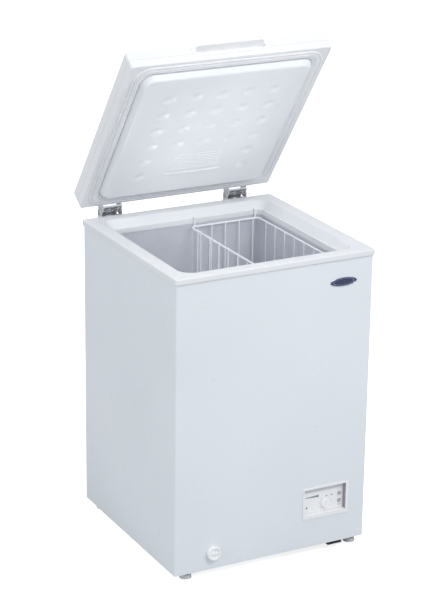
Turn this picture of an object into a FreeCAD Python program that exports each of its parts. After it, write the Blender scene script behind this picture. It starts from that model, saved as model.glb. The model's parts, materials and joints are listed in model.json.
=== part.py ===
"""Small chest freezer with its lid open and a wire basket, as an assembly of separate parts.

Millimetres. +Z is up, the front faces -Y and +X is to the right of someone facing the front.
The origin is on the floor, under the middle of the whole object as it stands with its lid open.
Everything is built with y = 0 at the middle of the cabinet, and moved along Y when it is written.
"""

import FreeCAD
import Part

import os
from math import cos, pi, radians, sin, tan

V = FreeCAD.Vector
X, Y, Z = V(1, 0, 0), V(0, 1, 0), V(0, 0, 1)

# ---------------------------------------------------------------- driving dimensions

# Cabinet
CABINET_WIDTH = 537.0
CABINET_DEPTH = 522.0
CABINET_HEIGHT = 752.0        # bottom edge to the underside of the rim
CABINET_CORNER = 5.0          # radius of the upright edges
BACK_RETURN = 16.0            # width of the wrap's returns behind the back panel's edges
SHEET = 0.8                   # steel and aluminium sheet
FOOT_HEIGHT = 24.0            # floor to the bottom edge
SHEET_GAP = 0.3               # between pieces that lie side by side

# Rim frame
RIM_HEIGHT = 14.0
RIM_OVERHANG = 3.7
RIM_CORNER = 7.0
RIM_WALL = 2.5
RIM_FLAT = 36.7               # width of the flat that the gasket closes on, at the sides
RIM_FLAT_FRONT = 34.2         # the same at the front and back
RIM_SLOPE_RUN = 18.0
RIM_SLOPE_DROP = 20.0
RIM_LEDGE = 3.5               # narrow step that the basket hangs on
RIM_DEPTH = 34.0              # rim top to the lower edge of its inner wall
MOUTH_CORNER = 14.0           # corner radius of the mouth

# Inner liner
LINER_GAP = 0.3               # liner to the rim's inner wall
FLOOR_FOAM = 60.0             # foam under the low floor
STEP_FOAM = 57.0              # foam over the compressor compartment
STEP_SIDE_FOAM = 52.0         # foam beside the compressor compartment
COMPARTMENT_HEIGHT = 206.0
COMPARTMENT_X = 40.5          # compressor compartment's left wall from the middle

# Lid
LID_GAP = 4.5                 # rim top to the lid's lower face when closed
LID_THICKNESS = 50.5
LID_INSET = 0.5               # lid's front and back in from the rim's
LID_CORNER = 8.0
LID_WALL = 2.5
LID_SEAM = 22.0               # height of the seam between the lid's two mouldings
LID_EDGE = 5.0                # rounding of the top edges
PLUG_INSET = 38.2             # lid's side to the root of the inner lining's raised field
PLUG_INSET_FRONT = 35.2       # the same at the front and back
PLUG_DEPTH = 15.0
PLUG_RUN = 10.0
PLUG_WALL = 4.5
PLUG_CORNER = 33.0            # radius of the raised field's corners at its root, to clear the rim
DIMPLE_COLUMNS = 5
DIMPLE_ROWS = 6
DIMPLE_PITCH_X = 73.0
DIMPLE_PITCH_Y = 58.0
DIMPLE_RADIUS = 19.0
DIMPLE_DEPTH = 3.0
RIB_COUNT = 7
RIB_HALF_LENGTH = 68.0
RIB_PITCH = 9.0
GASKET_INSET = 12.2           # lid's edge to the gasket
GASKET_INSET_FRONT = 9.2      # the same at the front and back
GASKET_CORNER = 46.0          # outer corner radius
GASKET_WIDTH = 22.0
GASKET_THICKNESS = 4.2
HANDLE_HALF_LENGTH = 103.0
HANDLE_REACH = 13.0           # how far the grip's lip stands out
HANDLE_POCKET = 13.0          # depth of the finger recess
HANDLE_BOTTOM = 14.0          # above the lid's lower face

# Hinges
HINGE_BEHIND = 29.0           # pin axis behind the cabinet
HINGE_ABOVE = 2.6             # pin axis above the rim top
HINGE_X = 181.0               # hinge centre from the middle
HINGE_INNER = 56.0            # clear width inside the casing
HINGE_SHEET = 2.0
HINGE_CASING_DROP = 95.0      # rim top to the casing's lower end
PIN_RADIUS = 4.0
PIN_CLEARANCE = 0.05
TOE_RADIUS = 2.5              # bar that bears on the springs
SPRING_RADIUS = 9.0
SPRING_WIRE = 3.2
SPRING_TURNS = 10
LID_OPEN = 54.3               # degrees, as it stands

# Basket
BASKET_WIDTH = 197.0
BASKET_HEIGHT = 190.0
BASKET_DROP = 41.0            # rim top to the top ring
BASKET_WALL_GAP = 12.0        # liner to the basket's right side
BASKET_END_GAP = 8.0          # liner to the basket's front and back
RING_WIRE = 2.6               # radius
GRID_WIRE = 1.5               # radius
SIDE_PITCH = 49.2             # wires along the left and right sides
SIDE_FIRST = 44.0             # first of them in from the rear end
END_PITCH = 40.0              # wires along the front and rear ends
WIRE_INSET = 14.0             # first wire in from a basket corner
HANGER_OFFSET = 10.0          # hanger in from the basket's corner

# Control panel
PANEL_X = 154.0
PANEL_ABOVE = 119.0           # bottom edge to the panel's middle
PANEL_WIDTH = 132.0
PANEL_HEIGHT = 86.0
PANEL_FRAME_LEFT = 4.0
PANEL_FRAME_RIGHT = 8.0
PANEL_FRAME_TOP = 5.0
PANEL_FRAME_BOTTOM = 10.0
PANEL_RECESS = 13.0
PANEL_WALL = 2.0
BEZEL_PROUD = 1.8
KNOB_RADIUS = 13.0
KNOB_HEIGHT = 8.0
KNOB_X = 160.0
KNOB_ABOVE = 107.0
SHAFT_RADIUS = 3.0
LAMP_RADIUS = 5.0
LAMP_X = 201.0
LAMP_HEIGHTS = (106.0, 126.0)

# Vents
VENT_Y = 100.0
VENT_ABOVE = 105.0
VENT_WIDTH = 160.0
VENT_HEIGHT = 90.0
VENT_SLOTS = 8
GRILLE_INSET = 15.0
GRILLE_MARGIN = 8.0
GRILLE_SLOTS = 9
GLAND_X = 82.0
GLAND_ABOVE = 46.0
GLAND_BORE = 4.1              # radius

# Badge
BADGE_X = 185.0
BADGE_ABOVE = 695.0
BADGE_HALF_WIDTH = 37.5
BADGE_HALF_HEIGHT = 11.5
BADGE_RIM = 1.8
BADGE_THICKNESS = 1.6
BADGE_PIN_X = 20.0            # pins from the badge's middle
BADGE_PIN_RADIUS = 1.7

# Drain
DRAIN_X = -164.0
DRAIN_ABOVE = 44.0
DRAIN_CAP_RADIUS = 18.0
DRAIN_CAP_DEPTH = 9.0
DRAIN_TUBE_RADIUS = 8.0
DRAIN_TUBE_WALL = 1.5
DRAIN_BEND = 14.0
DRAIN_BACK = 70.0             # floor outlet behind the cabinet's front

# Bottom
TRAY_LIP = 12.0               # upturned edge of the bottom panel

# Feet
FOOT_X = 235.5                # rear feet's axes from the middle
FOOT_IN_LEFT = 45.5           # front left foot's axis in from the cabinet's side
FOOT_IN_RIGHT = 21.5          # front right foot's axis in from the cabinet's side
FOOT_INSET = 32.0             # foot's axis in from the cabinet's front or back
FOOT_RADIUS = 15.5
FOOT_PAD = 11.0
STUD_RADIUS = 5.0
STUD_LENGTH = 22.0            # above the bottom edge
NUT_RADIUS = 10.0
COLLAR_RADIUS = 12.0

# Compressor
COMPRESSOR_X = 155.0
COMPRESSOR_IN = 156.0         # compressor's axis in from the cabinet's back
COMPRESSOR_RADIUS = 66.0
COMPRESSOR_HEIGHT = 150.0
COMPRESSOR_LIFT = 22.0        # base plate to the underside of the can
LUG_X = 78.0
LUG_Y = 48.0
GROMMET_RADIUS = 12.0
BOLT_RADIUS = 4.0
RAIL_X = 186.0                # pressed rail under the base plate
RAIL_HALF_WIDTH = 20.0
RAIL_DROP = 8.0

# Refrigerant tubes
EVAPORATOR_RADIUS = 4.0
CONDENSER_RADIUS = 2.5
EVAPORATOR_PASSES = 6
EVAPORATOR_PITCH = 70.0
CONDENSER_PASSES = 6
CONDENSER_PITCH = 80.0
LEG_DROP = 30.0               # how far the tubes' ends hang into the compartment
TUBE_BEND = 16.0
PIPE_BEND = 12.0              # pipes beside the compressor
CAPILLARY_RADIUS = 1.3

# Small parts
SCREW_RADIUS = 2.2
SCREW_LENGTH = 12.0
SCREW_HEAD_RADIUS = 4.2
SCREW_HEAD = 2.2
CROSS_WIDTH = 0.9             # slot of the cross recess
CROSS_DEPTH = 1.3
LUG_PLATE = 3.0
DRIER_RADIUS = 9.0
DRIER_LENGTH = 90.0
BULB_RADIUS = 4.0
BULB_LENGTH = 70.0
BULB_TOP = 420.0
GLAND_RADIUS = 9.0
SOCKET_RADIUS = 10.7
SOCKET_DEPTH = 14.0
LID_SEAM_GAP = 0.5            # groove between the lid's two mouldings
LIP_CLEARANCE = 2.0           # lid's lip to the lining's root
LINING_FLANGE = 21.0
SPRING_SHARE = 7 / 13         # springs' spread over the width left free inside the arm
RING_CORNER = 12.0
HANGER_WIRE = 2.0

# ---------------------------------------------------------------- worked-out places

HALF_X = CABINET_WIDTH / 2
HALF_Y = CABINET_DEPTH / 2
FRONT = -HALF_Y
BACK = HALF_Y
BACK_FACE = BACK - SHEET - SHEET_GAP          # outside of the back panel
BACK_INSIDE = BACK_FACE - SHEET               # inside of the back panel
INNER_CORNER = CABINET_CORNER - SHEET - SHEET_GAP   # corners of what fills the wrap
BASE = FOOT_HEIGHT
RIM_TOP = BASE + CABINET_HEIGHT + RIM_HEIGHT
RIM_X = HALF_X + RIM_OVERHANG
RIM_Y = HALF_Y + RIM_OVERHANG
RIM_BOTTOM = RIM_TOP - RIM_HEIGHT

# The mouth's corner centres. Rings round the mouth are measured outwards from them.
RIM_FLAT_R = MOUTH_CORNER + RIM_LEDGE + RIM_SLOPE_RUN
CORNER_X = RIM_X - RIM_FLAT - RIM_FLAT_R
CORNER_Y = RIM_Y - RIM_FLAT_FRONT - RIM_FLAT_R
LEDGE_Z = RIM_TOP - RIM_SLOPE_DROP
MOUTH_Z = RIM_TOP - RIM_DEPTH

LINER_R = MOUTH_CORNER + RIM_WALL + LINER_GAP
LINER_X = CORNER_X + LINER_R
LINER_Y = CORNER_Y + LINER_R
LINER_TOP = LEDGE_Z - RIM_WALL - SHEET_GAP
LOW_FLOOR = BASE + FLOOR_FOAM
COMPARTMENT_TOP = BASE + COMPARTMENT_HEIGHT
COMPRESSOR_Y = HALF_Y - COMPRESSOR_IN
STEP_FLOOR = COMPARTMENT_TOP + STEP_FOAM
STEP_X = COMPARTMENT_X - STEP_SIDE_FOAM

LID_BOTTOM = RIM_TOP + LID_GAP
LID_TOP = LID_BOTTOM + LID_THICKNESS
LID_X = RIM_X
LID_Y = RIM_Y - LID_INSET
PLUG_X = LID_X - PLUG_INSET
PLUG_Y = LID_Y - PLUG_INSET_FRONT
PLUG_BOTTOM = LID_BOTTOM - PLUG_DEPTH
PLUG_R = PLUG_CORNER
LID_CORNER_X = PLUG_X - PLUG_R
LID_CORNER_Y = PLUG_Y - PLUG_R
GASKET_CENTRE_X = LID_X - GASKET_INSET - GASKET_CORNER
GASKET_CENTRE_Y = LID_Y - GASKET_INSET_FRONT - GASKET_CORNER

HINGE_Y = BACK + HINGE_BEHIND
HINGE_Z = RIM_TOP + HINGE_ABOVE
CASING_BOTTOM = RIM_TOP - HINGE_CASING_DROP
CASING_BACK = HINGE_Y + 11.0
ARM_HALF = HINGE_INNER / 2 - 1.5
ARM_INSIDE = ARM_HALF - HINGE_SHEET
CASING_TONGUE = ARM_INSIDE - 1.5   # half width of the tongue up the casing's back, between the arm's cheeks
SPRING_SPREAD = SPRING_SHARE * (ARM_INSIDE - 2 * SPRING_RADIUS)
SPRING_Y = HINGE_Y - PIN_RADIUS - SPRING_RADIUS - 1.0
TOE_LIFT = 17.4               # toe bar above the pin as the lid stands
SPRING_SEAT = CASING_BOTTOM + 25.0
TOE_Y = SPRING_Y - HINGE_Y    # toe bar in front of the pin as the lid stands

BASKET_RIGHT = LINER_X - BASKET_WALL_GAP
BASKET_LEFT = BASKET_RIGHT - BASKET_WIDTH
BASKET_X = (BASKET_RIGHT + BASKET_LEFT) / 2
BASKET_Y = LINER_Y - BASKET_END_GAP
BASKET_TOP = RIM_TOP - BASKET_DROP
BASKET_BOTTOM = BASKET_TOP - BASKET_HEIGHT

PANEL_Z = BASE + PANEL_ABOVE
PANEL_LEFT = PANEL_X - PANEL_WIDTH / 2 + PANEL_FRAME_LEFT
PANEL_RIGHT = PANEL_X + PANEL_WIDTH / 2 - PANEL_FRAME_RIGHT
PANEL_LOW = PANEL_Z - PANEL_HEIGHT / 2 + PANEL_FRAME_BOTTOM
PANEL_HIGH = PANEL_Z + PANEL_HEIGHT / 2 - PANEL_FRAME_TOP
PANEL_FLOOR = FRONT + PANEL_RECESS
PLATE_THICKNESS = 1.5
PLATE_FRONT = PANEL_FLOOR - PLATE_THICKNESS
KNOB_Z = BASE + KNOB_ABOVE

DRAIN_Z = BASE + DRAIN_ABOVE
DRAIN_Y = FRONT + DRAIN_BACK
FOOT_Y = HALF_Y - FOOT_INSET
BASE_PLATE = 2.0
COMPRESSOR_BOTTOM = BASE + BASE_PLATE + COMPRESSOR_LIFT


# ---------------------------------------------------------------- shape helpers

def outline(points, place):
    """Closed wire through (a, b) or (a, b, radius) points; a radius rounds that corner.

    place(a, b) says where a point of the flat outline lies in space.
    """
    count = len(points)
    ends = []
    for i, point in enumerate(points):
        here = V(point[0], point[1], 0)
        radius = point[2] if len(point) > 2 else 0
        if radius == 0:
            ends.append((here, None, here))
            continue
        before = V(points[i - 1][0], points[i - 1][1], 0)
        after = V(points[(i + 1) % count][0], points[(i + 1) % count][1], 0)
        inward = (before - here).normalize()
        outward = (after - here).normalize()
        half = inward.getAngle(outward) / 2
        reach = radius / tan(half)
        middle = (inward + outward).normalize()
        centre = here + middle * (radius / sin(half))
        ends.append((here + inward * reach, centre - middle * radius, here + outward * reach))
    edges = []
    for i, (start, middle, finish) in enumerate(ends):
        following = ends[(i + 1) % count][0]
        if middle is not None:
            arc = [place(p.x, p.y) for p in (start, middle, finish)]
            edges.append(Part.Arc(*arc).toShape())
        if (finish - following).Length > 1e-6:
            side = [place(p.x, p.y) for p in (finish, following)]
            edges.append(Part.LineSegment(*side).toShape())
    return Part.Wire(edges)


def flat(points, place):
    """Flat face inside an outline."""
    return Part.Face(outline(points, place))


def upright(points, low, high):
    """Prism whose plan outline is given in (x, y)."""
    return flat(points, lambda a, b: V(a, b, low)).extrude(Z * (high - low))


def along_x(points, left, right):
    """Prism along X whose outline is given in (y, z)."""
    return flat(points, lambda a, b: V(left, a, b)).extrude(X * (right - left))


def along_y(points, front, back):
    """Prism along Y whose outline is given in (x, z)."""
    return flat(points, lambda a, b: V(a, front, b)).extrude(Y * (back - front))


def rectangle(x0, x1, y0, y1, radius=0):
    """Corner list of a rectangle, with rounded corners if radius is given."""
    return [(x0, y0, radius), (x1, y0, radius), (x1, y1, radius), (x0, y1, radius)]


def block(x0, x1, y0, y1, z0, z1, radius=0):
    """Upright block, with rounded upright edges if radius is given."""
    return upright(rectangle(x0, x1, y0, y1, radius), z0, z1)


def column(half_x, half_y, radius, low, high):
    """Upright block centred on the cabinet's axis."""
    return block(-half_x, half_x, -half_y, half_y, low, high, radius)


def rod(start, finish, radius):
    """Round bar between two points."""
    run = finish - start
    return Part.makeCylinder(radius, run.Length, start, run)


def joined(shapes):
    """Fuse shapes that touch into one clean solid."""
    return shapes[0].multiFuse(shapes[1:]).removeSplitter()


def group(shapes):
    """Separate solids that share one node."""
    return Part.makeCompound(shapes)


def carried_round(points, corner_x, corner_y):
    """Carry an (r, z) outline round a rectangle with rounded corners.

    The corner centres are at (+-corner_x, +-corner_y), and r is measured outwards from them.
    """
    pieces = []
    for side in range(4):
        out, along = (corner_x, corner_y) if side % 2 == 0 else (corner_y, corner_x)
        section = flat(points, lambda a, b: V(out + a, -along, b))
        straight = section.extrude(Y * (2 * along))
        corner = section.copy()
        corner.translate(Y * (2 * along))
        corner = corner.revolve(V(out, along, 0), Z, 90)
        for piece in (straight, corner):
            piece.rotate(V(0, 0, 0), Z, 90 * side)
            pieces.append(piece)
    return joined(pieces)


def tube(points, radius, bend):
    """Round tube along straight runs joined by tangent arcs of one bend radius."""
    edges = []
    start = points[0]
    for before, here, after in zip(points, points[1:], points[2:]):
        inward = (before - here).normalize()
        outward = (after - here).normalize()
        half = inward.getAngle(outward) / 2
        reach = bend / tan(half)
        middle = (inward + outward).normalize()
        top = here + middle * (bend / sin(half) - bend)
        edges.append(Part.LineSegment(start, here + inward * reach).toShape())
        edges.append(Part.Arc(here + inward * reach, top, here + outward * reach).toShape())
        start = here + outward * reach
    edges.append(Part.LineSegment(start, points[-1]).toShape())
    path = Part.Wire(edges)
    first = (points[1] - points[0]).normalize()
    ring = Part.Wire(Part.Circle(points[0], first, radius).toShape())
    return path.makePipeShell([ring], True, False)


def coil(centre, radius, wire, height, turns):
    """Helical spring standing on centre, with its wire's middle starting half a wire up."""
    path = Part.makeHelix((height - 2 * wire) / turns, height - 2 * wire, radius)
    ring = Part.Wire(Part.Circle(V(radius, 0, 0), Y, wire).toShape())
    spring = path.makePipeShell([ring], True, True)
    spring.translate(centre + Z * wire)
    return spring


def turned(profile, axis_point, axis):
    """Solid of revolution of a flat face."""
    return profile.revolve(axis_point, axis, 360)


def opened(shape):
    """Turn a shape of the closed lid to where the lid stands open."""
    moved = shape.copy()
    moved.rotate(V(0, HINGE_Y, HINGE_Z), -X, LID_OPEN)
    return moved


# ---------------------------------------------------------------- cabinet shell

def outer_wrap():
    """Painted steel: one sheet bent round the front and both sides, with back returns."""
    low, high = BASE, RIM_TOP - RIM_WALL - SHEET_GAP
    skin = column(HALF_X, HALF_Y, CABINET_CORNER, low, high)
    inside = column(HALF_X - SHEET, HALF_Y - SHEET, CABINET_CORNER - SHEET, low, high)
    doorway = block(-HALF_X + BACK_RETURN, HALF_X - BACK_RETURN, 0, BACK + 1, low, high)
    panel_hole = along_y(panel_outline(SHEET_GAP), FRONT - 1, FRONT + 2)
    drain = [V(DRAIN_X, y, DRAIN_Z) for y in (FRONT - 1, FRONT + 2)]
    drain_hole = rod(drain[0], drain[1], SOCKET_RADIUS + SHEET_GAP)
    vent_hole = along_x(vent_outline(SHEET_GAP), HALF_X - 2, HALF_X + 1)
    badge_holes = [badge_pin(x, FRONT - 1, FRONT + 2, BADGE_PIN_RADIUS + SHEET_GAP) for x in badge_pins()]
    return skin.cut([inside, doorway, panel_hole, drain_hole, vent_hole] + badge_holes)


def panel_outline(clearance):
    """Opening in the front for the control housing."""
    return rectangle(PANEL_LEFT - PANEL_WALL - clearance, PANEL_RIGHT + PANEL_WALL + clearance,
                     PANEL_LOW - PANEL_WALL - clearance, PANEL_HIGH + PANEL_WALL + clearance, 3.0)


def vent_outline(clearance):
    """Opening in the right side for the compartment's vent, in (y, z)."""
    half_y, half_z = VENT_WIDTH / 2 + clearance, VENT_HEIGHT / 2 + clearance
    middle = BASE + VENT_ABOVE
    return rectangle(VENT_Y - half_y, VENT_Y + half_y, middle - half_z, middle + half_z, 6.0)


def grille_outline(grow):
    """Opening in the back for the compartment's grille, in (x, z)."""
    return rectangle(COMPARTMENT_X + GRILLE_INSET - grow, HALF_X - 2 * GRILLE_INSET + grow,
                     BASE + GRILLE_INSET - grow, COMPARTMENT_TOP - GRILLE_INSET + grow, 6.0)


def back_panel():
    """Steel sheet inside the wrap's back returns."""
    half = HALF_X - CABINET_CORNER
    sheet = block(-half, half, BACK_INSIDE, BACK_FACE, BASE, RIM_TOP - RIM_WALL - SHEET_GAP)
    window = along_y(grille_outline(0), BACK - 5, BACK + 1)
    return sheet.cut([window] + cabinet_screw_holes())


def bottom_panel():
    """Galvanised tray under the foam, left of the compressor compartment."""
    left, right = -HALF_X + SHEET + SHEET_GAP, COMPARTMENT_X - SHEET_GAP
    front, back = FRONT + SHEET + SHEET_GAP, BACK_INSIDE - SHEET_GAP
    tray = block(left, right, front, back, BASE, BASE + TRAY_LIP, INNER_CORNER)
    hollow = block(left + SHEET, right - SHEET, front + SHEET, back - SHEET,
                   BASE + SHEET, BASE + TRAY_LIP + 1, INNER_CORNER - SHEET)
    holes = [rod(V(x, y, BASE - 1), V(x, y, BASE + 3), STUD_RADIUS + 0.5) for x, y in foot_places() if x < 0]
    return tray.cut([hollow] + holes)


def compartment_lining():
    """Bent sheet that walls and roofs the compressor compartment."""
    front, back = FRONT + SHEET + SHEET_GAP, BACK_INSIDE - SHEET_GAP
    low = BASE + BASE_PLATE + SHEET_GAP
    outside = block(COMPARTMENT_X, HALF_X - SHEET - SHEET_GAP, front, back,
                    low, COMPARTMENT_TOP, INNER_CORNER)
    inside = block(COMPARTMENT_X + SHEET, HALF_X, front - 1, back + 1, BASE, COMPARTMENT_TOP - SHEET)
    return outside.cut([inside] + roof_holes())


def roof_holes():
    """Holes where the tubes pass up into the foam."""
    low, high = COMPARTMENT_TOP - 5, COMPARTMENT_TOP + 5
    places = [(x, y, EVAPORATOR_RADIUS) for x, y in evaporator_legs()]
    places += [(x, y, CONDENSER_RADIUS) for x, y in condenser_legs()]
    places += [(*sensor_place(), CAPILLARY_RADIUS)]
    return [rod(V(x, y, low), V(x, y, high), r + SHEET_GAP) for x, y, r in places]


def inner_liner():
    """Aluminium tank folded from sheet, with a raised floor over the compressor compartment.

    Its walls, bent corners, riser and floors meet edge to edge at the seams.
    """
    hollow = liner_block(0, LINER_TOP + 1)
    tank = liner_block(SHEET, LINER_TOP).cut([hollow, drain_bore(DRAIN_TUBE_RADIUS + SHEET_GAP)])
    big = 2 * HALF_X
    floor_left = tank.common(block(-big, STEP_X + SHEET, -big, big, LOW_FLOOR - SHEET, LOW_FLOOR))
    floor_right = tank.common(block(STEP_X, big, -big, big, STEP_FLOOR - SHEET, STEP_FLOOR))
    riser = tank.common(block(STEP_X, STEP_X + SHEET, -LINER_Y, LINER_Y, LOW_FLOOR, STEP_FLOOR - SHEET))
    walls = tank.cut([floor_left, floor_right, riser])
    sheets = [floor_left, floor_right, riser]
    low = LOW_FLOOR - SHEET
    for side in (-1, 1):
        x0, x1 = sorted((side * CORNER_X, side * big))
        y0, y1 = sorted((side * CORNER_Y, side * big))
        sheets.append(walls.common(block(x0, x1, -CORNER_Y, CORNER_Y, low, LINER_TOP)))
        sheets.append(walls.common(block(-CORNER_X, CORNER_X, y0, y1, low, LINER_TOP)))
        for end in (-1, 1):
            sheets += bent_corner(walls, side, end, big)
    return group([solid for sheet in sheets for solid in sheet.Solids])


def bent_corner(walls, side, end, big):
    """One corner of the liner's wall, as two halves that meet at its middle."""
    x, y = side * CORNER_X, end * CORNER_Y
    halves = ([(x, y), (x + side * big, y), (x + side * big, y + end * big)],
              [(x, y), (x, y + end * big), (x + side * big, y + end * big)])
    return [walls.common(upright(half, LOW_FLOOR - SHEET, LINER_TOP)) for half in halves]


def liner_block(grow, top):
    """Space inside the liner, or the liner's outer form when grown by its sheet."""
    tank = column(LINER_X + grow, LINER_Y + grow, LINER_R + grow, LOW_FLOOR - grow, top)
    step = block(STEP_X + grow, LINER_X + 5, -LINER_Y - 5, LINER_Y + 5, LOW_FLOOR - 5, STEP_FLOOR - grow)
    return tank.cut(step)


def drain_bore(radius):
    """Round hole down through the low floor."""
    return rod(V(DRAIN_X, DRAIN_Y, LOW_FLOOR - 12), V(DRAIN_X, DRAIN_Y, LOW_FLOOR + 5), radius)


def rim_frame():
    """White plastic frame: skirt, flat for the gasket, slope, ledge and inner wall."""
    flat_r = RIM_FLAT_R
    lean = RIM_WALL * (RIM_SLOPE_RUN ** 2 + RIM_SLOPE_DROP ** 2) ** 0.5 / RIM_SLOPE_DROP
    per_mm = RIM_SLOPE_RUN / RIM_SLOPE_DROP
    under_flat = flat_r + lean - RIM_WALL * per_mm
    under_ledge = flat_r - RIM_SLOPE_RUN + lean - RIM_WALL * per_mm
    wall = MOUTH_CORNER + RIM_WALL
    funnel = carried_round([
        (MOUTH_CORNER, MOUTH_Z), (wall, MOUTH_Z), (wall, LEDGE_Z - RIM_WALL),
        (under_ledge, LEDGE_Z - RIM_WALL), (under_flat, RIM_TOP - RIM_WALL),
        (under_flat + 2, RIM_TOP - RIM_WALL), (under_flat + 2, RIM_TOP), (flat_r, RIM_TOP, 8.0),
        (flat_r - RIM_SLOPE_RUN, LEDGE_Z), (MOUTH_CORNER, LEDGE_Z, 0.8)], CORNER_X, CORNER_Y)
    hole_r = under_flat + 1
    top = column(RIM_X, RIM_Y, RIM_CORNER, RIM_TOP - RIM_WALL, RIM_TOP).cut(
        column(CORNER_X + hole_r, CORNER_Y + hole_r, hole_r, RIM_TOP - RIM_WALL, RIM_TOP))
    skirt = column(RIM_X, RIM_Y, RIM_CORNER, RIM_BOTTOM, RIM_TOP - RIM_WALL).cut(
        column(RIM_X - RIM_WALL, RIM_Y - RIM_WALL, RIM_CORNER - RIM_WALL, RIM_BOTTOM, RIM_TOP - RIM_WALL))
    return joined([top, skirt, funnel])


def foam_insulation():
    """Polyurethane foam between the steel skin and the liner, with room for all it holds."""
    edge = SHEET + SHEET_GAP
    low, top = BASE + 2 * SHEET + SHEET_GAP, RIM_TOP - RIM_WALL - 2 * SHEET_GAP
    shoulder = LEDGE_Z - RIM_WALL - 2.0
    body = block(-HALF_X + edge, HALF_X - edge, FRONT + edge, BACK_INSIDE - SHEET_GAP,
                 low, top, INNER_CORNER)
    under_rim_r = RIM_FLAT_R + 6
    under_rim = column(CORNER_X + under_rim_r, CORNER_Y + under_rim_r, under_rim_r, shoulder, top + 1)
    tray_side = edge + SHEET + SHEET_GAP
    tray_lip = block(-HALF_X, COMPARTMENT_X, FRONT, BACK, BASE, BASE + TRAY_LIP + SHEET_GAP).cut(
        block(-HALF_X + tray_side, COMPARTMENT_X - 2 * edge, FRONT + tray_side, BACK_INSIDE - tray_side,
              BASE, BASE + 2 * TRAY_LIP, INNER_CORNER - edge))
    compartment = block(COMPARTMENT_X - SHEET_GAP, HALF_X, FRONT, BACK, BASE, COMPARTMENT_TOP + SHEET_GAP)
    well = liner_block(SHEET + SHEET_GAP, top + 1)
    stud_room = [rod(V(x, y, BASE), V(x, y, BASE + STUD_LENGTH), NUT_RADIUS + 0.5)
                 for x, y in foot_places() if x < 0]
    channels = [evaporator_tube(SHEET_GAP), condenser_tube(SHEET_GAP), drain_channel(), sensor_channel()]
    body = body.cut([under_rim, tray_lip, compartment, well] + stud_room + channels + cabinet_screw_holes())
    return max(body.Solids, key=lambda solid: solid.Volume)


# ---------------------------------------------------------------- tubes in the foam

def evaporator_legs():
    """Where the evaporator's two ends come down into the compartment."""
    out = LINER_Y + SHEET + EVAPORATOR_RADIUS + 1.0
    return [(CORNER_X - 30, out), (CORNER_X - 70, out)]


def condenser_legs():
    """Where the condenser's two ends come down into the compartment."""
    out = BACK_INSIDE - CONDENSER_RADIUS - 1.0
    return [(COMPARTMENT_X + 26, out), (HALF_X - 18, out)]


def evaporator_tube(grow=0):
    """Copper tube wound to and fro round the outside of the liner."""
    out = SHEET + EVAPORATOR_RADIUS + 1.0
    side_x, side_y = LINER_X + out, LINER_Y + out
    (start_x, leg_y), (end_x, _) = evaporator_legs()
    turn_x = end_x - 60
    corners = [(side_x, side_y), (side_x, -side_y), (-side_x, -side_y), (-side_x, side_y)]
    leg_end = COMPARTMENT_TOP - LEG_DROP
    z = STEP_FLOOR + 40
    points = [V(start_x, leg_y, leg_end), V(start_x, leg_y, z)]
    for turn in range(EVAPORATOR_PASSES):
        outward = turn % 2 == 0
        points += [V(x, y, z) for x, y in (corners if outward else reversed(corners))]
        if turn == EVAPORATOR_PASSES - 1:
            points += [V(end_x, leg_y, z), V(end_x, leg_y, leg_end)]
        else:
            x = turn_x if outward else start_x
            points += [V(x, leg_y, z), V(x, leg_y, z + EVAPORATOR_PITCH)]
        z += EVAPORATOR_PITCH
    return tube(points, EVAPORATOR_RADIUS + grow, TUBE_BEND)


def condenser_tube(grow=0):
    """Thin steel tube to and fro against the inside of the back panel."""
    (start_x, y), (end_x, _) = condenser_legs()
    left, right = -HALF_X + 30, end_x - 30
    leg_end = COMPARTMENT_TOP - LEG_DROP
    z = COMPARTMENT_TOP + 70
    points = [V(start_x, y, leg_end), V(start_x, y, z)]
    for turn in range(CONDENSER_PASSES - 1):
        x = left if turn % 2 == 0 else right
        points += [V(x, y, z), V(x, y, z + CONDENSER_PITCH)]
        z += CONDENSER_PITCH
    points += [V(end_x, y, z), V(end_x, y, leg_end)]
    return tube(points, CONDENSER_RADIUS + grow, TUBE_BEND)


def drain_path(lengthen=0):
    """Down from the low floor, then forward to the front."""
    return [V(DRAIN_X, DRAIN_Y, LOW_FLOOR + 0.5 + lengthen), V(DRAIN_X, DRAIN_Y, DRAIN_Z),
            V(DRAIN_X, FRONT + 1 - lengthen, DRAIN_Z)]


def drain_tube():
    """Plastic tube from the floor outlet to the front."""
    return tube(drain_path(), DRAIN_TUBE_RADIUS, DRAIN_BEND).cut(
        tube(drain_path(1), DRAIN_TUBE_RADIUS - DRAIN_TUBE_WALL, DRAIN_BEND))


def drain_channel():
    """Room in the foam for the drain tube and its socket."""
    socket = rod(V(DRAIN_X, FRONT, DRAIN_Z), V(DRAIN_X, FRONT + SOCKET_DEPTH + SHEET_GAP, DRAIN_Z),
                 SOCKET_RADIUS + SHEET_GAP)
    return tube(drain_path(1), DRAIN_TUBE_RADIUS + SHEET_GAP, DRAIN_BEND).fuse(socket)


def sensor_place():
    """Where the thermostat's thin tube goes up into the foam."""
    return KNOB_X + 15, FRONT + 34


def sensor_channel():
    """Room in the foam for the thermostat's tube and bulb."""
    x, y = sensor_place()
    thin = rod(V(x, y, COMPARTMENT_TOP - 1), V(x, y, BULB_TOP), CAPILLARY_RADIUS + SHEET_GAP)
    low, high = BULB_TOP - BULB_LENGTH - SHEET_GAP, BULB_TOP + SHEET_GAP
    bulb = rod(V(x, y, low), V(x, y, high), BULB_RADIUS + SHEET_GAP)
    return thin.fuse(bulb)


# ---------------------------------------------------------------- compressor compartment

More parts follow.
